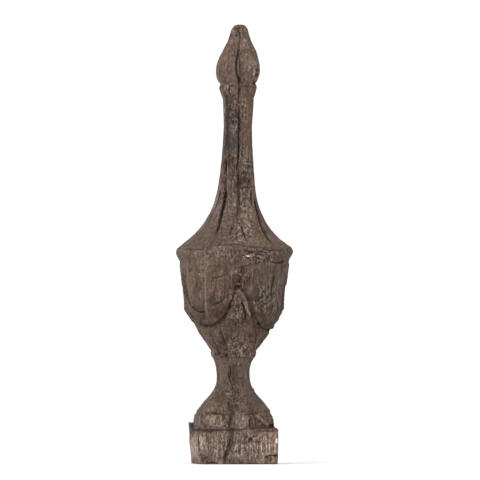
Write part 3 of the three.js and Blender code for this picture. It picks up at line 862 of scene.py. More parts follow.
# Rolls along a line: line, width, height, lightness; the lightness is pale bare wood, and on some ridges a
# painted highlight.
FRONT_RIDGES = (
    # The light line down the front-left arris is a painted highlight.
    (((208, 238), (205.8, 246), (205.4, 262), (205.6, 290), (206.2, 306), (207.4, 322)), 1.2, 1.2, 0.22),
    (((257, 415), (262.4, 419.6), (268.6, 425.2)), 1.4, 2.4, 0.3),
    (((249.7, 441), (249.7, 463)), 0.8, 1.0, 0.32),
    (((242.4, 293), (246.4, 299.6), (249.4, 305.6), (250.2, 311)), 1.4, 1.8, 0.06),
    (((249.4, 311.4), (249.6, 315.6)), 1.3, 1.4, 0.3),
    (((247.2, 308), (248.2, 311.4)), 1.1, 1.0, 0.22),
    (((240.8, 104), (241, 112)), 0.9, 0.8, 0.2),
    (((241.4, 90), (241.6, 97)), 1.0, 0.8, 0.12),
    (((247.6, 111), (248.2, 126)), 1.4, 0.8, 0.1),
    (((233, 140), (233.4, 148)), 1.0, 0.8, 0.16),
    (((247, 143), (247.2, 153)), 1.2, 0.9, 0.16),
    (((241.4, 186.2), (243.4, 186.4)), 1.1, 1.4, 0.35),
    (((248.6, 186.2), (250.4, 186.4)), 1.1, 1.4, 0.35),
    (((233.6, 192), (233.4, 202), (232.8, 212)), 1.0, 0.8, 0.1),
    (((228.2, 166), (228.4, 182), (227.6, 192)), 1.0, 0.8, 0.08),
    (((249.2, 189), (249.6, 204)), 1.1, 1.0, 0.12),
    (((243.2, 189), (243.2, 204), (243.8, 214)), 1.0, 0.8, 0.1),
    (((236.6, 384), (237, 390)), 0.9, 0.9, 0.2),
    (((238.8, 385), (240.4, 392)), 0.8, 0.8, 0.2),
    (((206, 421.6), (208.8, 417.8), (213.2, 415.8), (221, 415.6)), 1.0, 1.4, 0.25),
    (((236.8, 410), (236.4, 419), (236.6, 428)), 1.2, 1.2, 0.22),
    (((234.6, 432), (233.6, 440), (230.6, 450), (228, 460)), 1.0, 1.2, 0.14),
    (((264.2, 435), (264.2, 453)), 0.6, 0.8, 0.2),
    (((266.6, 435), (266.5, 453)), 0.7, 0.8, 0.25),
    (((269.8, 435), (269.6, 453)), 1.0, 0.8, 0.25),
    (((275.4, 438), (275.2, 454)), 1.2, 0.8, 0.3),
    (((196.2, 434), (195.8, 450)), 1.2, 0.8, 0.15),
    (((201.6, 436), (201.4, 446)), 1.2, 0.8, 0.15),
    # The white roll on the rim's front edge is a painted highlight.
    (((245.4, 255.6), (249.8, 256.3)), 0.9, 1.5, 0.95),
    (((251.2, 256.8), (253.6, 257)), 0.8, 1.2, 0.5),
    (((270.8, 260.4), (273.2, 260.8)), 0.9, 1.2, 0.6),
    (((276.6, 438), (276.8, 444)), 0.9, 1.2, 0.95),
    (((255.6, 438.8), (257.4, 437.8)), 1.1, 0.9, 0.4),
    (((256, 432.8), (262, 432.4), (268, 433), (276, 433.8)), 1.0, 0.8, 0.22),
    (((255.6, 415.4), (258.8, 417.2), (262, 419.2)), 1.1, 1.2, 0.3),
    (((237.4, 314.6), (236.8, 317.8)), 0.9, 1.0, 0.6),
    (((236.4, 308.6), (237.2, 310.4)), 0.9, 0.9, 0.45),
    (((241.8, 310.6), (242.2, 313)), 0.9, 0.9, 0.5),
    (((229, 316.4), (230.6, 317.6)), 0.8, 0.8, 0.45),
    (((247.4, 309.4), (248.4, 311.4)), 0.9, 0.9, 0.45),
    (((236.2, 270), (237.4, 273.6)), 1.0, 0.9, 0.2),
    (((237.8, 290), (240.2, 291.6)), 0.7, 0.9, 0.5),
    (((231.4, 295), (230.6, 300)), 0.9, 0.8, 0.25),
    (((237.6, 290.2), (238.8, 290.6)), 0.8, 0.8, 0.4),
    (((218.2, 335), (218.8, 335.4)), 0.9, 0.8, 0.4),
    (((213, 306.6), (213.4, 308.2)), 0.8, 0.8, 0.35),
)
# Patches of another colour, among them some painted shade and a painted highlight: middle, size, colour,
# strength.
FRONT_STAINS = (
    ((238, 30), (8, 6), GREY_GREEN, 0.8),
    ((224, 54), (5, 7), GREY_GREEN, 0.9),
    ((234, 47), (4, 7), PURPLE, 0.5),
    ((228, 60), (6, 10), PINK, 0.4),
    ((253, 54), (4, 12), OLIVE, 0.8),
    ((222, 79), (4, 6), PURPLE, 0.9),
    ((227.4, 89), (4.6, 5.4), PINK, 0.3),
    ((239, 91), (10, 5), UMBER, 0.35),
    ((226.0, 122), (7.4, 34), CHARCOAL, 1.0),
    ((225, 120), (7, 40), (0.54, 0.555, 0.57), 1.0),
    ((230, 142), (9, 13), CHARCOAL, 0.7),
    ((234, 116), (4, 10), UMBER, 0.5),
    ((247, 120), (6.4, 34), (1.26, 1.16, 1.12), 1.0),
    ((250, 118), (3.4, 20), RUST, 0.4),
    ((229, 159), (8, 10), PURPLE, 0.6),
    ((216.6, 196), (5, 14), (1.3, 1.4, 1.55), 0.9),
    ((211, 212), (5, 8), PALE, 0.5),
    ((246.6, 180), (6.4, 7), PURPLE, 0.6),
    ((248, 196), (7, 10), GREY_GREEN, 0.6),
    ((255, 222), (6, 9), OLIVE, 0.5),
    ((250, 218), (9, 16), (1.2, 1.22, 1.22), 0.9),
    ((230, 214), (14, 22), (1.14, 1.16, 1.18), 0.9),
    ((264, 238), (8, 8), OLIVE, 0.5),
    ((259, 212), (4, 16), PURPLE, 0.6),
    # This pale patch on the flare is a painted highlight.
    ((240.8, 237), (4, 7), PALE, 0.6),
    ((192, 245), (12, 6), OLIVE, 0.4),
    ((190, 250.4), (16, 2.2), RUST, 0.35),
    ((184.6, 257), (3.4, 8), PINK, 0.8),
    ((279.6, 256.6), (7, 6), MOSS, 0.8),
    ((256, 256), (14, 5), (1.2, 1.14, 1.1), 0.7),
    ((210, 257), (30, 7), (1.12, 1.12, 1.11), 1.0),
    ((222, 88), (4, 5), (0.86, 0.86, 0.86), 0.8),
    ((205.4, 275), (2.2, 30), ORANGE, 0.35),
    ((196, 275), (9, 22), OLIVE, 0.5),
    ((270, 272), (8, 12), OLIVE, 0.5),
    ((182, 274), (3, 12), MOSS, 0.7),
    ((284.6, 299), (3.4, 14), RUST, 0.9),
    ((238, 281), (11, 12), UMBER, 0.65),
    ((212.6, 300.6), (5, 6), MOSS, 0.9),
    ((194, 282), (10, 20), (0.87, 0.87, 0.87), 0.9),
    ((212, 284), (8, 12), (1.08, 1.08, 1.06), 0.9),
    # The two umber patches on the left swag are painted shade under its folds.
    ((219, 310), (11, 11), UMBER, 0.75),
    ((197, 309), (11, 5), UMBER, 0.7),
    ((200, 318), (10, 4), (1.15, 1.10, 1.02), 0.8),
    ((250.6, 299), (5, 8), CHARCOAL, 0.7),
    ((240, 306), (8, 14), (0.95, 0.88, 0.86), 0.8),
    ((266, 315), (14, 13), UMBER, 0.6),
    ((236.4, 312), (8, 16), (0.86, 0.86, 0.86), 0.8),
    ((264, 303), (6, 8), PALE, 0.3),
    ((204, 340), (8, 12), OLIVE, 0.7),
    ((213, 341), (3.4, 12), RUST, 0.5),
    ((246, 338), (8, 9), RUST, 0.4),
    ((222, 353), (14, 6), UMBER, 0.4),
    ((236.6, 361), (6, 5), PALE, 0.3),
    ((224, 372), (9, 10), (1.12, 1.1, 1.1), 0.9),
    ((243, 349), (8, 5), PINK, 0.4),
    ((246, 363), (6, 7), OLIVE, 0.7),
    ((205, 398), (9, 14), (0.90, 1.0, 0.94), 1.0),
    ((258, 398), (10, 13), (0.88, 1.0, 0.98), 1.0),
    ((256, 407), (12, 5), GREY_GREEN, 0.5),
    ((215.4, 409.6), (14, 2.6), (1.5, 1.42, 1.28), 0.9),
    ((216.4, 421.6), (11, 7.6), (1.35, 1.33, 1.28), 0.9),
    ((243, 421.8), (8, 7.6), (1.62, 1.70, 1.72), 0.95),
    ((199.6, 420), (4.4, 8), (1.1, 0.86, 0.88), 0.9),
    ((252.6, 423), (3, 7), (0.6, 0.64, 0.46), 0.9),
    ((264, 421), (10, 7), PURPLE, 0.45),
    ((231.6, 424), (4.0, 26), UMBER, 0.62),
    ((230.6, 442), (4.0, 10), UMBER, 0.6),
    ((227.4, 455), (2.8, 8), UMBER, 0.5),
    ((201.4, 441), (6, 8), (1.35, 1.28, 1.12), 0.9),
    ((216, 444), (16, 13), (1.16, 1.14, 1.08), 0.8),
    ((243, 448), (9, 15), (1.12, 1.02, 1.02), 0.9),
    ((269, 444), (9, 13), (1.95, 1.90, 1.78), 0.95),
    ((274.6, 446), (2.6, 10), ORANGE, 0.25),
    ((257.8, 441.8), (3.4, 3), UMBER, 0.9),
    ((271, 460), (8, 4.6), (0.95, 1.06, 0.98), 1.0),
    ((206, 458), (8, 7), PURPLE, 0.5),
    ((238, 461), (22, 4), (0.86, 0.8, 0.8), 0.7),
    ((273.4, 433.6), (7.6, 4.2), (1.8, 1.86, 1.92), 1.0),
    ((229.4, 36), (4.4, 6), (0.5, 0.52, 0.56), 1.0),
    ((243, 106), (10, 5), (1.5, 1.48, 1.48), 1.0),
    ((215.4, 208), (4.4, 9), (1.4, 1.44, 1.54), 1.0),
    ((214, 384), (5, 14), (1.4, 1.45, 1.5), 0.9),
    ((241, 243), (10, 4), (1.42, 1.4, 1.4), 1.0),
    ((271, 299), (4.6, 9), (0.64, 0.64, 0.66), 1.0),
    ((250, 373), (4, 8), (0.7, 0.7, 0.7), 1.0),
    ((222.6, 228), (5, 9), (1.34, 1.34, 1.34), 1.0),
    ((257, 240.6), (9, 3.4), (1.3, 1.32, 1.3), 1.0),
    ((253.4, 204), (3.4, 7), (1.3, 1.3, 1.36), 1.0),
    ((257, 419), (3.6, 5), (1.4, 1.42, 1.44), 1.0),
    ((217, 376), (6, 10), (1.36, 1.38, 1.38), 1.0),
    ((236, 346), (5, 5), (1.26, 1.22, 1.2), 0.9),
    ((226, 408), (5, 6), (1.3, 1.27, 1.24), 0.9),
    ((262, 461.6), (14, 3.4), (1.45, 1.47, 1.48), 1.0),
    ((203, 461.6), (10, 3), (1.4, 1.4, 1.44), 1.0),
    ((286, 284), (3, 9), (0.55, 0.56, 0.55), 1.0),
    ((247, 319), (5, 6), (0.74, 0.75, 0.74), 1.0),
    ((212, 329), (6, 5), (0.76, 0.77, 0.76), 1.0),
    ((242, 451), (5, 7), (0.76, 0.8, 0.82), 1.0),
)
# The same on the strip of the left side that shows from the front.
LEFT_EDGE_STAINS = (
    ((216, 199), (6, 20), (1.4, 1.5, 1.62), 1.0),
    ((209, 390), (9, 22), (1.4, 1.5, 1.56), 1.0),
    ((189.4, 438), (2.6, 5), (0.6, 0.58, 0.58), 1.0),
    ((229, 35), (3.4, 6), (0.5, 0.53, 0.55), 1.0),
    ((223, 140), (3, 16), (0.66, 0.68, 0.72), 1.0),
    ((191.0, 430.5), (5.0, 9), (0.46, 0.33, 0.32), 1.0),
    ((193.6, 446), (6, 15), (1.40, 1.38, 1.32), 1.0),
    ((193.4, 460), (4, 5.6), (0.62, 0.74, 0.68), 1.0),
    ((183, 256), (5, 6), (0.9, 0.82, 0.8), 0.8),
    ((182, 290), (4, 20), (0.86, 0.88, 0.84), 0.8),
)
# Patches of small pits with light flecks between, as on the front: middle, size, how many.
FLECKED_PATCHES = (
    ((236.4, 310), (7, 17), 84),
    ((264, 303), (7, 9), 34),
    ((243, 348), (8, 6), 24),
    ((232, 353.6), (20, 3.6), 26),
    ((256, 256), (16, 6), 34),
    ((238, 278), (10, 10), 16),
    ((224, 252), (14, 5), 16),
    ((205.6, 262), (2, 16), 12),
    ((206, 458), (8, 7), 34),
    ((243, 447), (10, 15), 50),
    ((212, 442), (12, 10), 20),
    ((231, 392), (9, 10), 18),
    ((222, 409.6), (16, 2.4), 24),
    ((264, 420), (8, 6), 18),
    ((228, 232), (14, 8), 26),
    ((246, 200), (7, 30), 26),
    ((222, 200), (4, 18), 18),
    ((246, 130), (5, 30), 10),
    ((232, 112), (6, 18), 18),
    ((236, 66), (18, 30), 26),
    ((236, 30), (8, 6), 12),
    ((196, 275), (10, 22), 14),
    ((200, 421), (5, 7), 10),
)
# Patches of another colour on every side, many as wide as the finial.
BROAD_STAINS = (
    ((233, 448), (72, 20), (1.60, 1.66, 1.72), 1.0),
    ((230, 421), (36, 8.5), (1.30, 1.35, 1.40), 0.9),
    ((233, 392), (34, 22), (0.86, 0.86, 0.84), 1.0),
    ((231, 374), (22, 14), (0.98, 0.98, 0.96), 1.0),
    ((238, 56), (24, 32), (1.18, 1.24, 1.28), 1.0),
    ((238, 130), (20, 50), (0.94, 0.98, 1.02), 1.0),
    ((216, 276), (18, 24), (1.20, 1.18, 1.12), 1.0),
    ((222, 255), (22, 8), (1.10, 1.10, 1.10), 1.0),
    ((238, 318), (60, 16), (0.90, 0.88, 0.86), 1.0),
    ((262, 290), (30, 40), (0.90, 0.91, 0.92), 1.0),
    ((212, 342), (16, 14), (0.84, 0.84, 0.82), 1.0),
)
# Patches of sound wood: middle, size, share of the roughness left.
SOUND_PATCHES = (
    ((205, 396), (10, 15), 0.3),
    ((257, 397), (10, 13), 0.3),
    ((247, 122), (6, 26), 0.45),
    ((233, 374), (18, 9), 0.5),
    ((206, 232), (12, 10), 0.5),
    ((272, 236), (9, 8), 0.5),
)
# Patches of rougher wood: middle, size, how scabby, how fibrous.
COARSE_PATCHES = (
    ((233, 442), (70, 12), 0.75, 0.62),
    ((233, 458), (70, 9), 0.5, 0.4),
    ((228, 421), (50, 10), 0.6, 0.45),
    ((235, 397), (16, 12), 0.5, 0.5),
    ((236, 354), (30, 6), 0.6, 0.2),
    ((240, 312), (12, 20), 0.7, 0.3),
    ((264, 300), (14, 18), 0.9, 0.6),
    ((242, 344), (20, 10), 0.6, 0.6),
    ((240, 276), (12, 14), 0.7, 0.2),
    ((256, 256), (22, 9), 0.8, 0.2),
    ((240, 256), (60, 9), 0.4, 0.5),
    ((240, 232), (16, 14), 0.8, 0.4),
    ((238, 180), (24, 50), 0.5, 0.7),
    ((247, 172), (6, 18), 0.9, 0.5),
    ((240, 116), (14, 24), 0.8, 0.5),
    ((226, 88), (9, 10), 0.8, 0.1),
    ((238, 30), (12, 8), 0.7, 0.1),
    ((257, 74), (5, 14), 0.8, 0.2),
)


def owners(place):
    """The side whose marks each point takes: the front and the back also have the cut corners beside them."""
    beside_front = np.isin(place["side"], (FRONT, LEFT))
    return np.where(place["on_chamfer"], np.where(beside_front, FRONT, BACK), place["side"])


CHECK_SEED = 11
PIT_SEED = 21
STAIN_SEED = 31
# How many random marks each side gets. The front has its own cracks, so it gets few.
FRONT_CHECKS = 14
CHECKS = 50
PITS = 26
STAINS = 34
# How far the flecked patches stray, on the other sides, from their places on the front.
FLECKS_STRAY = 9
# How much wider and darker the front's own cuts are than their table says.
FRONT_CUTS_WIDER = 1.15
FRONT_CUTS_DARKER = 1.25
# The plinth's left side is paler all over.
LEFT_PLINTH_STAIN = ((233, 446), (80, 22), PALE, 1.0)
# Where the random marks fall on the grid: across and down, each from and to.
CHECKS_FALL = ((176, 290), (30, 462))
PITS_FALL = ((180, 286), (60, 460))
STAINS_FALL = ((180, 286), (30, 460))


def drawn(rng, *spans):
    """One random value from each span, in turn."""
    return [rng.uniform(*span) for span in spans]


def random_checks(surface, on, count, seed):
    """Fine drying cracks that run up and down with the grain."""
    rng = np.random.default_rng(seed)
    for _ in range(count):
        u, v, length, drift = drawn(rng, *CHECKS_FALL, (8, 46), (-0.03, 0.03))
        steps = np.linspace(0, length, 6)
        line = [(u + drift * step + rng.uniform(-0.5, 0.5), v + step) for step in steps]
        surface.cut(on, line, *drawn(rng, (0.5, 0.8), (0.8, 1.9), (0.35, 0.8)))


def random_pits(surface, on, count, seed):
    rng = np.random.default_rng(seed)
    for _ in range(count):
        middle, size = drawn(rng, *PITS_FALL), drawn(rng, (0.8, 2.4), (0.8, 3.2))
        depth, dark = drawn(rng, (0.8, 2.6), (0.4, 0.9))
        surface.lump(on, middle, size, -depth, dark)


def random_stains(surface, on, count, seed):
    rng = np.random.default_rng(seed)
    colours = (CHARCOAL, PINK, PURPLE, OLIVE, MOSS, PALE, UMBER, RUST, GREY_GREEN)
    for _ in range(count):
        middle, size = drawn(rng, *STAINS_FALL), drawn(rng, (4, 12), (6, 22))
        surface.stain(on, middle, size, colours[rng.integers(len(colours))], rng.uniform(0.2, 0.55))


def wear_side(surface, on, side):
    """The marks that every side has, and the random ones, of which the hidden sides have more."""
    for cut in CARVED_CUTS + SWAG_CUTS + KNOT_CUTS + (WORN_KNOT_CUTS if side else FRONT_KNOT_CUTS):
        surface.cut(on, *cut)
    for lap in SWAG_LAPS:
        surface.lap(on, *lap)
    for lump in KNOT_LUMPS if side else FRONT_KNOT_LUMPS + KNOT_LUMPS:
        surface.lump(on, *lump)
    for stain in BROAD_STAINS:
        surface.stain(on, *stain)
    for patch in COARSE_PATCHES:
        surface.coarsen(on, *patch)
    for patch in SOUND_PATCHES:
        surface.calm(on, *patch)
    random_checks(surface, on, CHECKS if side else FRONT_CHECKS, CHECK_SEED + side)
    if side:
        random_pits(surface, on, PITS, PIT_SEED + side)
        random_stains(surface, on, STAINS, STAIN_SEED + side)


def wear_front(surface, on):
    for line, width, depth, dark in FRONT_CUTS:
        surface.cut(on, line, FRONT_CUTS_WIDER * width, depth, min(1, FRONT_CUTS_DARKER * dark))
    for ridge in FRONT_RIDGES:
        surface.ridge(on, *ridge)
    for lump in FRONT_LUMPS:
        surface.lump(on, *lump)
    for stain in FRONT_STAINS:
        surface.stain(on, *stain)


def wear(surface, owner):
    """Puts all carved and worn marks on the four sides."""
    sides = [np.flatnonzero(owner == side) for side in range(SIDES)]
    for side, on in enumerate(sides):
        wear_side(surface, on, side)
    surface.stain(sides[LEFT], *LEFT_PLINTH_STAIN)
    for stain in LEFT_EDGE_STAINS:
        surface.stain(sides[LEFT], *stain, places=surface.seen)
    wear_front(surface, sides[FRONT])
    rng = np.random.default_rng(CHECK_SEED)
    for side, on in enumerate(sides):
        for (u, v), size, count in FLECKED_PATCHES:
            aside, below = rng.uniform(-FLECKS_STRAY, FLECKS_STRAY, 2) if side else (0, 0)
            surface.flecks(on, (u + aside, v + below), size, count, rng)


def read(points, name):
    values = np.empty(len(points) * 3, np.float32)
    points.foreach_get(name, values)
    return values.reshape(-1, 3).astype(float)


def move(mesh, places):
    mesh.vertices.foreach_set("co", (places * MM).ravel())
    mesh.update()


def store(mesh, name, values):
    mesh.attributes.new(name, "FLOAT", "POINT").data.foreach_set("value", values.astype(np.float32))


# The half widths from which the fuller outline, the carving and the relief reach in towards the axis.
FULLER_FROM = 8
CARVED_FROM = 1
WORN_FROM = 2


def on_outline(mesh):
    """Each point's half width on the outline, its height, and how far it is turned from the front."""
    x, y, z = read(mesh.vertices, "co").T
    turn = np.arctan2(x, -y)
    # Between two spin steps a ring is straight, so the half width is worked out from its chord.
    step = 2 * math.pi / SPIN_STEPS
    chord = math.cos(0.5 * step) / np.cos((turn - math.pi / 2) % step - 0.5 * step)
    half_width = np.hypot(x, y) / chord
    fuller = half_width + np.interp(z, *zip(*FULLER))
    return np.where(half_width > FULLER_FROM, fuller, half_width), z, turn % (2 * math.pi)


def carved_body(place, half_width, z):
    """Where each point of the squared and carved body stands, before the spire leans."""
    reach = np.maximum(np.hypot(place["across"], place["out"]), TINY)
    grown = 1 + np.where(half_width > CARVED_FROM, carved_depth(place, z), 0) / reach
    quarter = place["side"] * math.pi / 2
    east, south = place["across"] * grown, -place["out"] * grown
    ear, share = ears(place, half_width, z)
    leaning = 1 + EAR_LEAN * np.maximum(ear, 0) * share
    x = (east * np.cos(quarter) - south * np.sin(quarter)) * leaning
    y = (east * np.sin(quarter) + south * np.cos(quarter)) * leaning
    return x, y, z + ear * share


def own_places(owner, x, y, z):
    """Grid places of the points with each side turned to the front, and the left and right ones mirrored."""
    back = owner * math.pi / 2
    own_x = x * np.cos(back) + y * np.sin(back)
    own_y = y * np.cos(back) - x * np.sin(back)
    own_x = np.where(owner % 2 == 1, -own_x, own_x)
    return as_seen(own_x + lean(z), own_y, z)


# Painted shade on the cloth: the soft shade above its edge, and the painted shade line of its hem just below
# it.
CLOTH_SHADE = (0.66, 0.62, 0.58)
CLOTH_SHADE_HEIGHT = 26
HEM_BELOW = 2.4
HEM_REACH = 3.2


def shade_cloth(surface, place, z):
    """Painted shade under the cloth's hem, and painted shade in its lower folds."""
    edge = above_swag_edge(place, z)
    cloth_zone = (z > NECK_BEAD_TOP + 10) & (z < WALL_TOP - 30)
    hem_shades = np.array(HEM_SHADES)[place["nearest_corner"]]
    surface.dark = np.maximum(surface.dark, hem_shades * bump((edge + HEM_BELOW) / HEM_REACH) * cloth_zone)
    beside_knot = smooth(place["from_middle"] / place["corner"], 0.06, 0.2)
    shade = (1 - smooth(edge, 2, CLOTH_SHADE_HEIGHT)) * smooth(edge, -3, 0) * beside_knot * cloth_zone
    surface.tint *= mix(1, np.array(CLOTH_SHADE), shade[:, None])


# Noise cells in millimetres, each with its seed.
FIBRES = ((2.4, 2.4, 34), 1)
STAVES = ((8, 8, 90), 2)
FLAKES = ((3.6, 3.6, 6), 3)
CRUMBS = ((2, 2, 3), 4)
WANDER_ACROSS = ((3, 3, 7), 5)
WANDER_DOWN = ((6, 6, 6), 6)


def grain(surface, places):
    """Relief and tone of the bare wood: fibres and staves run with the grain, flakes and crumbs lie on it."""
    fibres = surface.fibres * noise(places, *FIBRES)
    staves = noise(places, *STAVES)
    flakes = surface.scabs * noise(places, *FLAKES)
    crumbs = surface.scabs * noise(places, *CRUMBS)
    relief = 0.5 * fibres + 0.4 * staves + 0.45 * flakes + 0.2 * crumbs
    tone = 0.5 + 0.42 * (fibres + flakes + 0.6 * crumbs) + 0.08 * staves
    return relief, np.clip(tone, 0, 1)


UNDERSIDE_HEIGHT = 3


def on_underside(outward, z):
    """1 on the underside, which stays flat, and 0 elsewhere."""
    return smooth(-outward[:, 2], 0.6, 0.95) * (z < UNDERSIDE_HEIGHT)


# How many triangles are left, and how strongly the front is spared.
TRIANGLES = 194000
FRONT_FAVOUR = 0.0004


def thinned(piece, owner):
    """The piece's mesh with fewer triangles, taken from the sides and the back more readily."""
    readily = piece.vertex_groups.new(name="thinned_readily")
    readily.add(np.flatnonzero(owner != FRONT).tolist(), 1.0, "REPLACE")
    readily.add(np.flatnonzero(owner == FRONT).tolist(), 0.5, "REPLACE")
    thinner = piece.modifiers.new("thinner", "DECIMATE")
    thinner.vertex_group = readily.name
    thinner.vertex_group_factor = FRONT_FAVOUR
    thinner.ratio = TRIANGLES / (2 * len(piece.data.polygons))
    evaluated = piece.evaluated_get(bpy.context.evaluated_depsgraph_get())
    return bpy.data.meshes.new_from_object(evaluated)


# The deepest that marks may go together, and how far the tip stays under its full height.
DEEPEST_WEAR = 7
TIP_SPARE = 0.03


def finial():
    staff = turned_staff()
    mesh = bpy.data.meshes.new("finial_wood")
    staff.to_mesh(mesh)
    staff.free()

    half_width, height, turn = on_outline(mesh)
    place = squared(half_width, height, turn)
    owner = owners(place)
    x, y, z = carved_body(place, half_width, height)
    upright = np.stack([x, y, z], axis=1)
    shaped = np.stack([x + lean(z), y, z], axis=1)
    move(mesh, shaped)
    outward = read(mesh.vertex_normals, "vector")

    u, v = own_places(owner, x, y, z)
    # The marks wander a little, so that none has a ruled edge.
    u = u + 0.45 * noise(upright, *WANDER_ACROSS)
    v = v + 0.4 * noise(upright, *WANDER_DOWN)
    surface = Surface(u, v, seen=as_seen(x + lean(z), y, z))
    wear(surface, owner)
    bare_relief, tone = grain(surface, shaped)
    relief = np.maximum(surface.relief, -DEEPEST_WEAR) + bare_relief
    relief = np.where(half_width > WORN_FROM, relief, 0) * (1 - on_underside(outward, z))
    moved = shaped + outward * relief[:, None]
    moved[:, 2] = np.clip(moved[:, 2], 0, TIP - TIP_SPARE)
    move(mesh, moved)

    shade_cloth(surface, place, z)
    store(mesh, "tone", tone)
    store(mesh, "coarse", surface.fibres)
    store(mesh, "scabby", surface.scabs)
    store(mesh, "dark", np.clip(surface.dark * (1 - surface.light), 0, 1))
    store(mesh, "light", surface.light)
    tint = np.concatenate([surface.tint, np.ones((len(tone), 1))], axis=1).astype(np.float32)
    mesh.attributes.new("tint", "FLOAT_COLOR", "POINT").data.foreach_set("color", tint.ravel())

    piece = bpy.data.objects.new("finial_wood", mesh)
    bpy.context.scene.collection.objects.link(piece)
    fewer = thinned(piece, owner)
    piece.modifiers.clear()
    piece.vertex_groups.clear()
    piece.data = fewer
    fewer.shade_smooth()
    return piece


def add(tree, kind, inputs=None, **settings):
    """A new node with its settings made and its inputs filled or linked."""
    made = tree.nodes.new(kind)
    for name, value in settings.items():
        setattr(made, name, value)
    for name, value in (inputs or {}).items():
        if isinstance(value, bpy.types.NodeSocket):
            tree.links.new(value, made.inputs[name])
        else:
            made.inputs[name].default_value = value
    return made


def ramp(tree, factor, stops):
    made = add(tree, "ShaderNodeValToRGB", {"Fac": factor})
    elements = made.color_ramp.elements
    while len(elements) < len(stops):
        elements.new(0.5)
    for element, (position, colour) in zip(elements, stops):
        element.position = position
        element.color = (*colour, 1)
    return made.outputs["Color"]


def math_node(tree, operation, a, b, clamp=False):
    return add(tree, "ShaderNodeMath", {0: a, 1: b}, operation=operation, use_clamp=clamp).outputs[0]


def blend(tree, kind, share, a, b):
    made = add(tree, "ShaderNodeMix", {"Factor": share}, data_type="RGBA", blend_type=kind)
    for socket, value in zip([s for s in made.inputs if s.type == "RGBA"], (a, b)):
        if isinstance(value, bpy.types.NodeSocket):
            tree.links.new(value, socket)
        else:
            socket.default_value = (*value, 1)
    return [s for s in made.outputs if s.type == "RGBA"][0]


def stretched_noise(tree, where, stretch, scale, detail=3.0, roughness=0.6):
    """Noise drawn out along the grain."""
    mapped = add(tree, "ShaderNodeMapping", {"Vector": where, "Scale": stretch}).outputs["Vector"]
    return add(tree, "ShaderNodeTexNoise",
               {"Vector": mapped, "Scale": scale, "Detail": detail, "Roughness": roughness}).outputs["Fac"]


def grey(level):
    return (level, level, level)


# Colours of the wood from its darkest to its palest level, and of its warmer and cooler stretches.
WOOD_LEVELS = (
    (0.12, (0.018, 0.011, 0.008)),
    (0.34, (0.062, 0.038, 0.027)),
    (0.54, (0.104, 0.068, 0.051)),
    (0.74, (0.168, 0.120, 0.094)),
    (0.95, (0.32, 0.26, 0.215)),
)
WARMTH = ((0.35, (0.95, 1.0, 1.04)), (0.65, (1.02, 0.97, 0.93)))
# Hair cracks lie where the noise crosses its middle.
HAIR_CRACK = (0.45, 0.42, 0.4)
HAIR_CRACKS = ((0.478, grey(1)), (0.497, HAIR_CRACK), (0.503, HAIR_CRACK), (0.522, grey(1)))
# The near-black of the painted shade in cuts, pits, creases and under the cloth's hem.
PAINTED_RECESS_SHADE = (0.018, 0.0105, 0.0065)
# Pale bare wood, also used for the painted highlights on ridges.
BARE_WOOD_AND_HIGHLIGHT = ((0.45, (0.35, 0.295, 0.25)), (0.9, (0.74, 0.70, 0.64)))
BROKEN_UP = ((0.42, grey(0.36)), (0.62, grey(1)))
ROUGHNESS = ((0.3, grey(0.98)), (0.75, grey(0.78)))


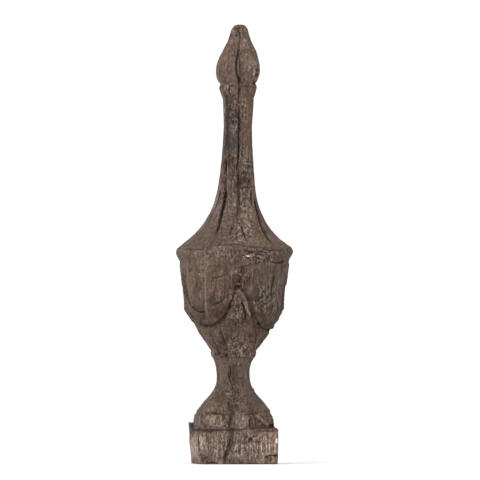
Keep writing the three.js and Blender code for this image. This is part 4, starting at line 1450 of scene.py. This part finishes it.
def weathered_wood():
    """Dry grey-brown wood: fibres, streaks, hair cracks and blotches, with painted shade darkening its cuts,
    and stained.
    """
    material = bpy.data.materials.new("weathered_wood_finish")
    material.use_nodes = True
    tree = material.node_tree
    shader = tree.nodes["Principled BSDF"]

    def attribute(name, output="Fac"):
        return add(tree, "ShaderNodeAttribute", attribute_name=name).outputs[output]

    def times(a, b, clamp=False):
        return math_node(tree, "MULTIPLY", a, b, clamp)

    def plus(total, *others, clamp=False):
        for other in others[:-1]:
            total = math_node(tree, "ADD", total, other)
        return math_node(tree, "ADD", total, others[-1], clamp)

    def swing(value, amount):
        """The noise or attribute moved to swing evenly about nought."""
        return times(math_node(tree, "SUBTRACT", value, 0.5), amount)

    where = add(tree, "ShaderNodeTexCoord").outputs["Object"]
    fibre = stretched_noise(tree, where, (1, 1, 0.07), 560, 4, 0.7)
    streak = stretched_noise(tree, where, (1, 1, 0.09), 150, 3, 0.6)
    scab = stretched_noise(tree, where, (1, 1, 0.5), 260, 5, 0.75)
    patch = stretched_noise(tree, where, (1, 1, 0.5), 30, 3, 0.55)
    hair = stretched_noise(tree, where, (1, 1, 0.06), 170, 2, 0.5)
    grit = stretched_noise(tree, where, (1, 1, 0.6), 1100, 2, 0.6)
    warm = stretched_noise(tree, where, (1, 1, 0.3), 16, 2)
    coarse, scabby, light = attribute("coarse"), attribute("scabby"), attribute("light")

    grainy = plus(times(coarse, 1.2), 0.15)
    crusty = plus(times(scabby, 1.5), 0.35)
    gritty = plus(times(scabby, 1.8), 0.55)
    level = plus(
        times(swing(fibre, 0.9), grainy),
        times(swing(streak, 0.4), grainy),
        times(swing(scab, 1.35), crusty),
        swing(patch, 0.45),
        times(swing(grit, 0.95), gritty),
        swing(attribute("tone"), 0.75),
        0.5,
        clamp=True,
    )
    wood = ramp(tree, level, WOOD_LEVELS)
    wood = blend(tree, "MULTIPLY", 1.0, wood, ramp(tree, warm, WARMTH))
    wood = blend(tree, "MULTIPLY", 1.0, wood, attribute("tint", "Color"))
    wood = blend(tree, "MULTIPLY", times(coarse, 0.8), wood, ramp(tree, hair, HAIR_CRACKS))
    # Painted shade in cuts, pits, creases and under the cloth's hem.
    wood = blend(tree, "MIX", times(attribute("dark"), 0.88), wood, PAINTED_RECESS_SHADE)
    # Pale bare wood and painted highlights, broken up, where the light attribute is set.
    broken_up = ramp(tree, plus(scab, times(light, 0.25)), BROKEN_UP)
    wood = blend(tree, "MIX", times(light, broken_up, clamp=True), wood, ramp(tree, light, BARE_WOOD_AND_HIGHLIGHT))
    tree.links.new(wood, shader.inputs["Base Color"])
    tree.links.new(ramp(tree, fibre, ROUGHNESS), shader.inputs["Roughness"])
    shader.inputs["Specular IOR Level"].default_value = 0.25

    height = plus(times(fibre, grainy), times(scab, crusty), times(grit, 0.3))
    bumps = add(tree, "ShaderNodeBump", {"Strength": 0.8, "Distance": 0.0016, "Height": height})
    tree.links.new(bumps.outputs["Normal"], shader.inputs["Normal"])
    return material


def plain(name, colour, roughness):
    material = bpy.data.materials.new(name)
    material.use_nodes = True
    shader = material.node_tree.nodes["Principled BSDF"]
    shader.inputs["Base Color"].default_value = (*colour, 1)
    shader.inputs["Roughness"].default_value = roughness
    return material


def floor():
    sheet = bmesh.new()
    bmesh.ops.create_grid(sheet, x_segments=8, y_segments=8, size=30)
    mesh = bpy.data.meshes.new("floor")
    sheet.to_mesh(mesh)
    sheet.free()
    mesh.materials.append(plain("pale_floor", (0.93, 0.93, 0.93), 0.9))
    laid = bpy.data.objects.new("floor", mesh)
    bpy.context.scene.collection.objects.link(laid)


ROOM_BRIGHTNESS = 1.08
# The point that the window's light is turned to, in metres.
LIT_MIDDLE = (0, 0, 0.42)


def soft_light(name, place, size, power):
    lamp = bpy.data.lights.new(name, "AREA")
    lamp.shape = "DISK"
    lamp.size = size
    lamp.energy = power
    hung = bpy.data.objects.new(name, lamp)
    bpy.context.scene.collection.objects.link(hung)
    hung.location = place
    towards = Vector(LIT_MIDDLE) - Vector(place)
    hung.rotation_euler = towards.to_track_quat("-Z", "Y").to_euler()


def studio():
    """A white room with one soft window high on the left."""
    world = bpy.data.worlds.new("white_room")
    world.use_nodes = True
    background = world.node_tree.nodes["Background"]
    background.inputs["Color"].default_value = (1, 1, 1, 1)
    background.inputs["Strength"].default_value = ROOM_BRIGHTNESS
    bpy.context.scene.world = world
    bpy.context.scene.view_settings.view_transform = "Standard"
    soft_light("window", place=(-2.6, -2.6, 2.2), size=1.4, power=80)


# The lens takes in the 480 steps of the grid from side to side.
SENSOR_WIDTH = 36
LENS = 470.6


def camera():
    """Far off and a little to the left of the front, looking very slightly up, as in the photograph."""
    eye = bpy.data.cameras.new("camera")
    eye.sensor_width = SENSOR_WIDTH
    eye.lens = LENS
    eye.clip_end = 100
    held = bpy.data.objects.new("camera", eye)
    bpy.context.scene.collection.objects.link(held)
    turn, tilt = SEEN_FROM, SEEN_TILT
    right = np.array((math.cos(turn), math.sin(turn), 0))
    target = np.array((0, 0, SEEN_HEIGHT * MM)) + SEEN_MIDDLE * MM * right
    back = np.array((math.sin(turn) * math.cos(tilt), -math.cos(turn) * math.cos(tilt), math.sin(tilt)))
    held.location = target + back * (SEEN_AT * MM)
    held.rotation_euler = (math.pi / 2 - tilt, 0, turn)
    bpy.context.scene.camera = held


carved = finial()
carved.data.materials.append(weathered_wood())
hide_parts("finial")
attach(carved, "root")
floor()
studio()
camera()
